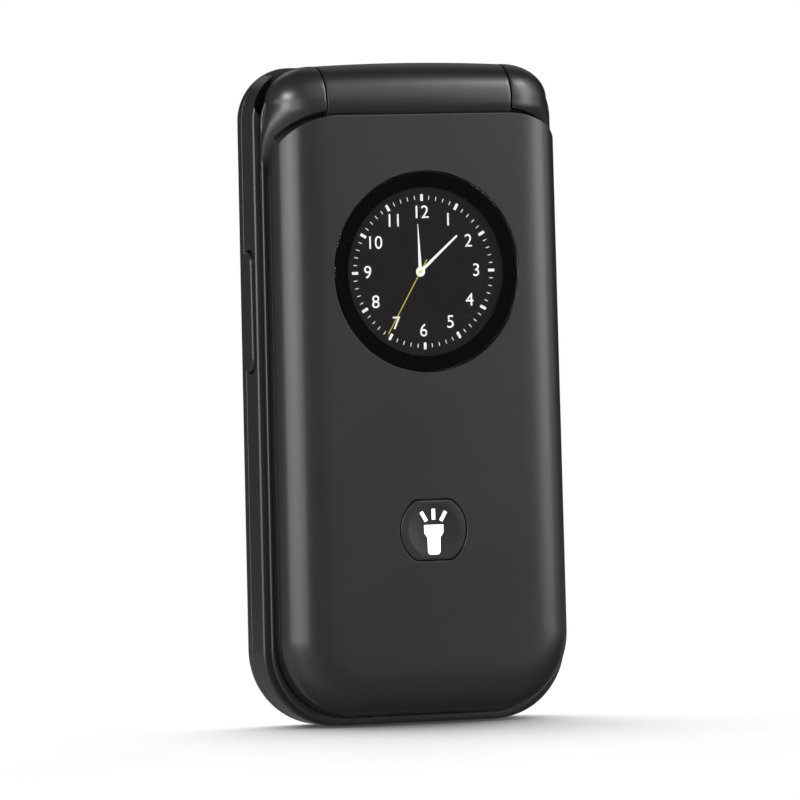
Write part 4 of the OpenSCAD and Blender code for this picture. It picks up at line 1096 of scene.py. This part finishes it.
def floor():
    """A white floor that glows for the camera, with a painted shadow in front of the phone."""
    made = bpy.data.materials.new("studio_floor")
    tree = bare_tree(made)
    upright = node(tree, "ShaderNodeNewGeometry")
    tilted = node(tree, "ShaderNodeVectorRotate", [("Vector", upright, "Normal")],
                  rotation_type="EULER_XYZ",
                  Rotation=(math.radians(-PAINTED_SHADOW_TILT), 0.0, math.radians(-PAINTED_SHADOW_TURN)))
    # Painted shadow: the floor glows less where the phone closes off its view towards the tilted direction
    painted_shadow_openness = node(tree, "ShaderNodeAmbientOcclusion", [("Normal", tilted, "Vector")], samples=16,
                    Distance=0.4)
    painted_shadow_level = node(tree, "ShaderNodeMapRange", [("Value", painted_shadow_openness, "AO")], From_Min=0.3, From_Max=0.87,
                  To_Min=0.05, To_Max=1.0)
    shown = node(tree, "ShaderNodeEmission", [("Strength", painted_shadow_level, "Result")])
    grey = node(tree, "ShaderNodeBsdfDiffuse", Color=linear("#8a8a8a"))
    mix = node(tree, "ShaderNodeMixShader", [("Fac", seen(tree), "Value"), (1, grey, "BSDF"),
                                             (2, shown, "Emission")])
    node(tree, "ShaderNodeOutputMaterial", [("Surface", mix, "Shader")])
    staged("studio_floor", *level(3.0, -3.0, 3.0), made)


def from_bearing(azimuth, elevation, distance, target):
    """A point seen from the target at that azimuth, right of the front, and elevation."""
    a, e = math.radians(azimuth), math.radians(elevation)
    away = Vector((math.sin(a) * math.cos(e), -math.cos(a) * math.cos(e), math.sin(e)))
    return target + away * distance


def facing(target, place, roll=0.0):
    """A matrix at place that looks at target along its own -Z."""
    look = (target - place).to_track_quat("-Z", "Y").to_matrix().to_4x4()
    return Matrix.Translation(place) @ look @ Matrix.Rotation(math.radians(roll), 4, "Z")


MIDDLE = Vector((0, 0, 56)) * MM


def softbox(name, azimuth, elevation, distance, width, height, strength, roll=0.0):
    """A rectangular lamp that faces the phone's middle; the strength is that of its face."""
    light = bpy.data.lights.new(name, "AREA")
    light.shape = "RECTANGLE"
    light.size = width
    light.size_y = height
    light.energy = strength * width * height * math.pi
    lamp = placed(name, light)
    lamp.matrix_world = facing(MIDDLE, from_bearing(azimuth, elevation, distance, MIDDLE), roll)
    lamp.visible_camera = False


def reflected_only(name, points, faces, glow):
    """A sheet that only reflections and the glass see."""
    made = bpy.data.materials.new(name)
    tree = bare_tree(made)
    shader = node(tree, "ShaderNodeEmission", Strength=glow, Color=WHITE)
    node(tree, "ShaderNodeOutputMaterial", [("Surface", shader, "Emission")])
    piece = staged(name, points, faces, made)
    piece.visible_camera = False
    piece.visible_diffuse = False
    piece.visible_volume_scatter = False


def reflector(name, azimuths, elevations, distance, glow=0.0):
    """A curved flag, or a light card where it glows, that only reflections see."""
    steps = 12
    row = steps + 1
    points = []
    for i in range(row):
        azimuth = azimuths[0] + (azimuths[1] - azimuths[0]) * i / steps
        for j in range(row):
            elevation = elevations[0] + (elevations[1] - elevations[0]) * j / steps
            points.append(from_bearing(azimuth, elevation, distance, MIDDLE))
    corners = [i * row + j for i in range(steps) for j in range(steps)]
    reflected_only(name, points, [(k, k + row, k + row + 1, k + 1) for k in corners], glow)


def world():
    """A white backdrop for the camera and for reflections, and a dimmer even light on everything else."""
    made = bpy.data.worlds.new("studio")
    bpy.context.scene.world = made
    tree = bare_tree(made)
    shown = node(tree, "ShaderNodeBackground", Strength=1.0, Color=WHITE)
    light = node(tree, "ShaderNodeBackground", Strength=0.55, Color=WHITE)
    mix = node(tree, "ShaderNodeMixShader", [("Fac", seen(tree), "Value"), (1, light, "Background"),
                                             (2, shown, "Background")])
    node(tree, "ShaderNodeOutputWorld", [("Surface", mix, "Shader")])


def lights():
    """Lamps by bearing, distance, size and strength; cards and flags by the bearings they span."""
    softbox("left_softbox", -61, -15, 1.3, 2.0, 1.05, 7.3)
    softbox("right_softbox", 47, 8, 0.8, 0.34, 1.0, 5.8, -10)
    softbox("top_softbox", 22, 39, 1.4, 1.3, 1.4, 0.92)
    softbox("upper_left_spot", -59, 23, 1.1, 0.36, 0.36, 24.0)
    softbox("upper_right_spot", 52, 44, 1.1, 0.26, 0.26, 14.0)
    reflector("right_side_card", (58, 84), (-40, 45), 1.5, 1.4)
    reflector("left_back_card", (-172, -132), (-40, 40), 2.0, 0.08)
    reflector("back_right_card", (128, 165), (22, 62), 2.2, 0.35)
    reflector("front_flag", (-130, 100), (-60, 88), 2.5, 0.1)
    reflector("back_left_flag", (-172, -130), (-60, 88), 2.5, 0.05)
    reflector("back_right_flag", (100, 165), (-60, 88), 2.5, 0.02)
    reflector("behind_flag", (165, 188), (48, 88), 2.5)
    reflector("behind_low_flag", (165, 188), (-60, 25), 2.5)
    reach, height, strip_y = 2.4, 0.0001, 0.3
    reflected_only("table_front_flag", *level(reach, -reach, 0.0, height), 0.05)
    reflected_only("table_card", *level(reach, 0.0, strip_y, height), 0.25)
    reflected_only("table_back_flag", *level(reach, strip_y, reach, height), 0.05)


# Camera, from a fit to the phone's edges
CAMERA_AZIMUTH = -23.2
CAMERA_ELEVATION = 0.8
CAMERA_ROLL = -1.43
CAMERA_DISTANCE = 1428.0
CAMERA_TARGET = (-1.44, 0.0, 54.8)
FOCAL_PIXELS = 8399.0
PICTURE_PIXELS = 800.0


def camera():
    data = bpy.data.cameras.new("camera")
    data.sensor_width = 36.0
    data.lens = FOCAL_PIXELS * data.sensor_width / PICTURE_PIXELS
    data.clip_start = 0.01
    viewer = placed("camera", data)
    target = Vector(CAMERA_TARGET) * MM
    place = from_bearing(CAMERA_AZIMUTH, CAMERA_ELEVATION, CAMERA_DISTANCE * MM, target)
    viewer.matrix_world = facing(target, place, CAMERA_ROLL)
    bpy.context.scene.camera = viewer


camera()
build()
floor()
world()
lights()
bpy.context.scene.view_settings.view_transform = "Standard"
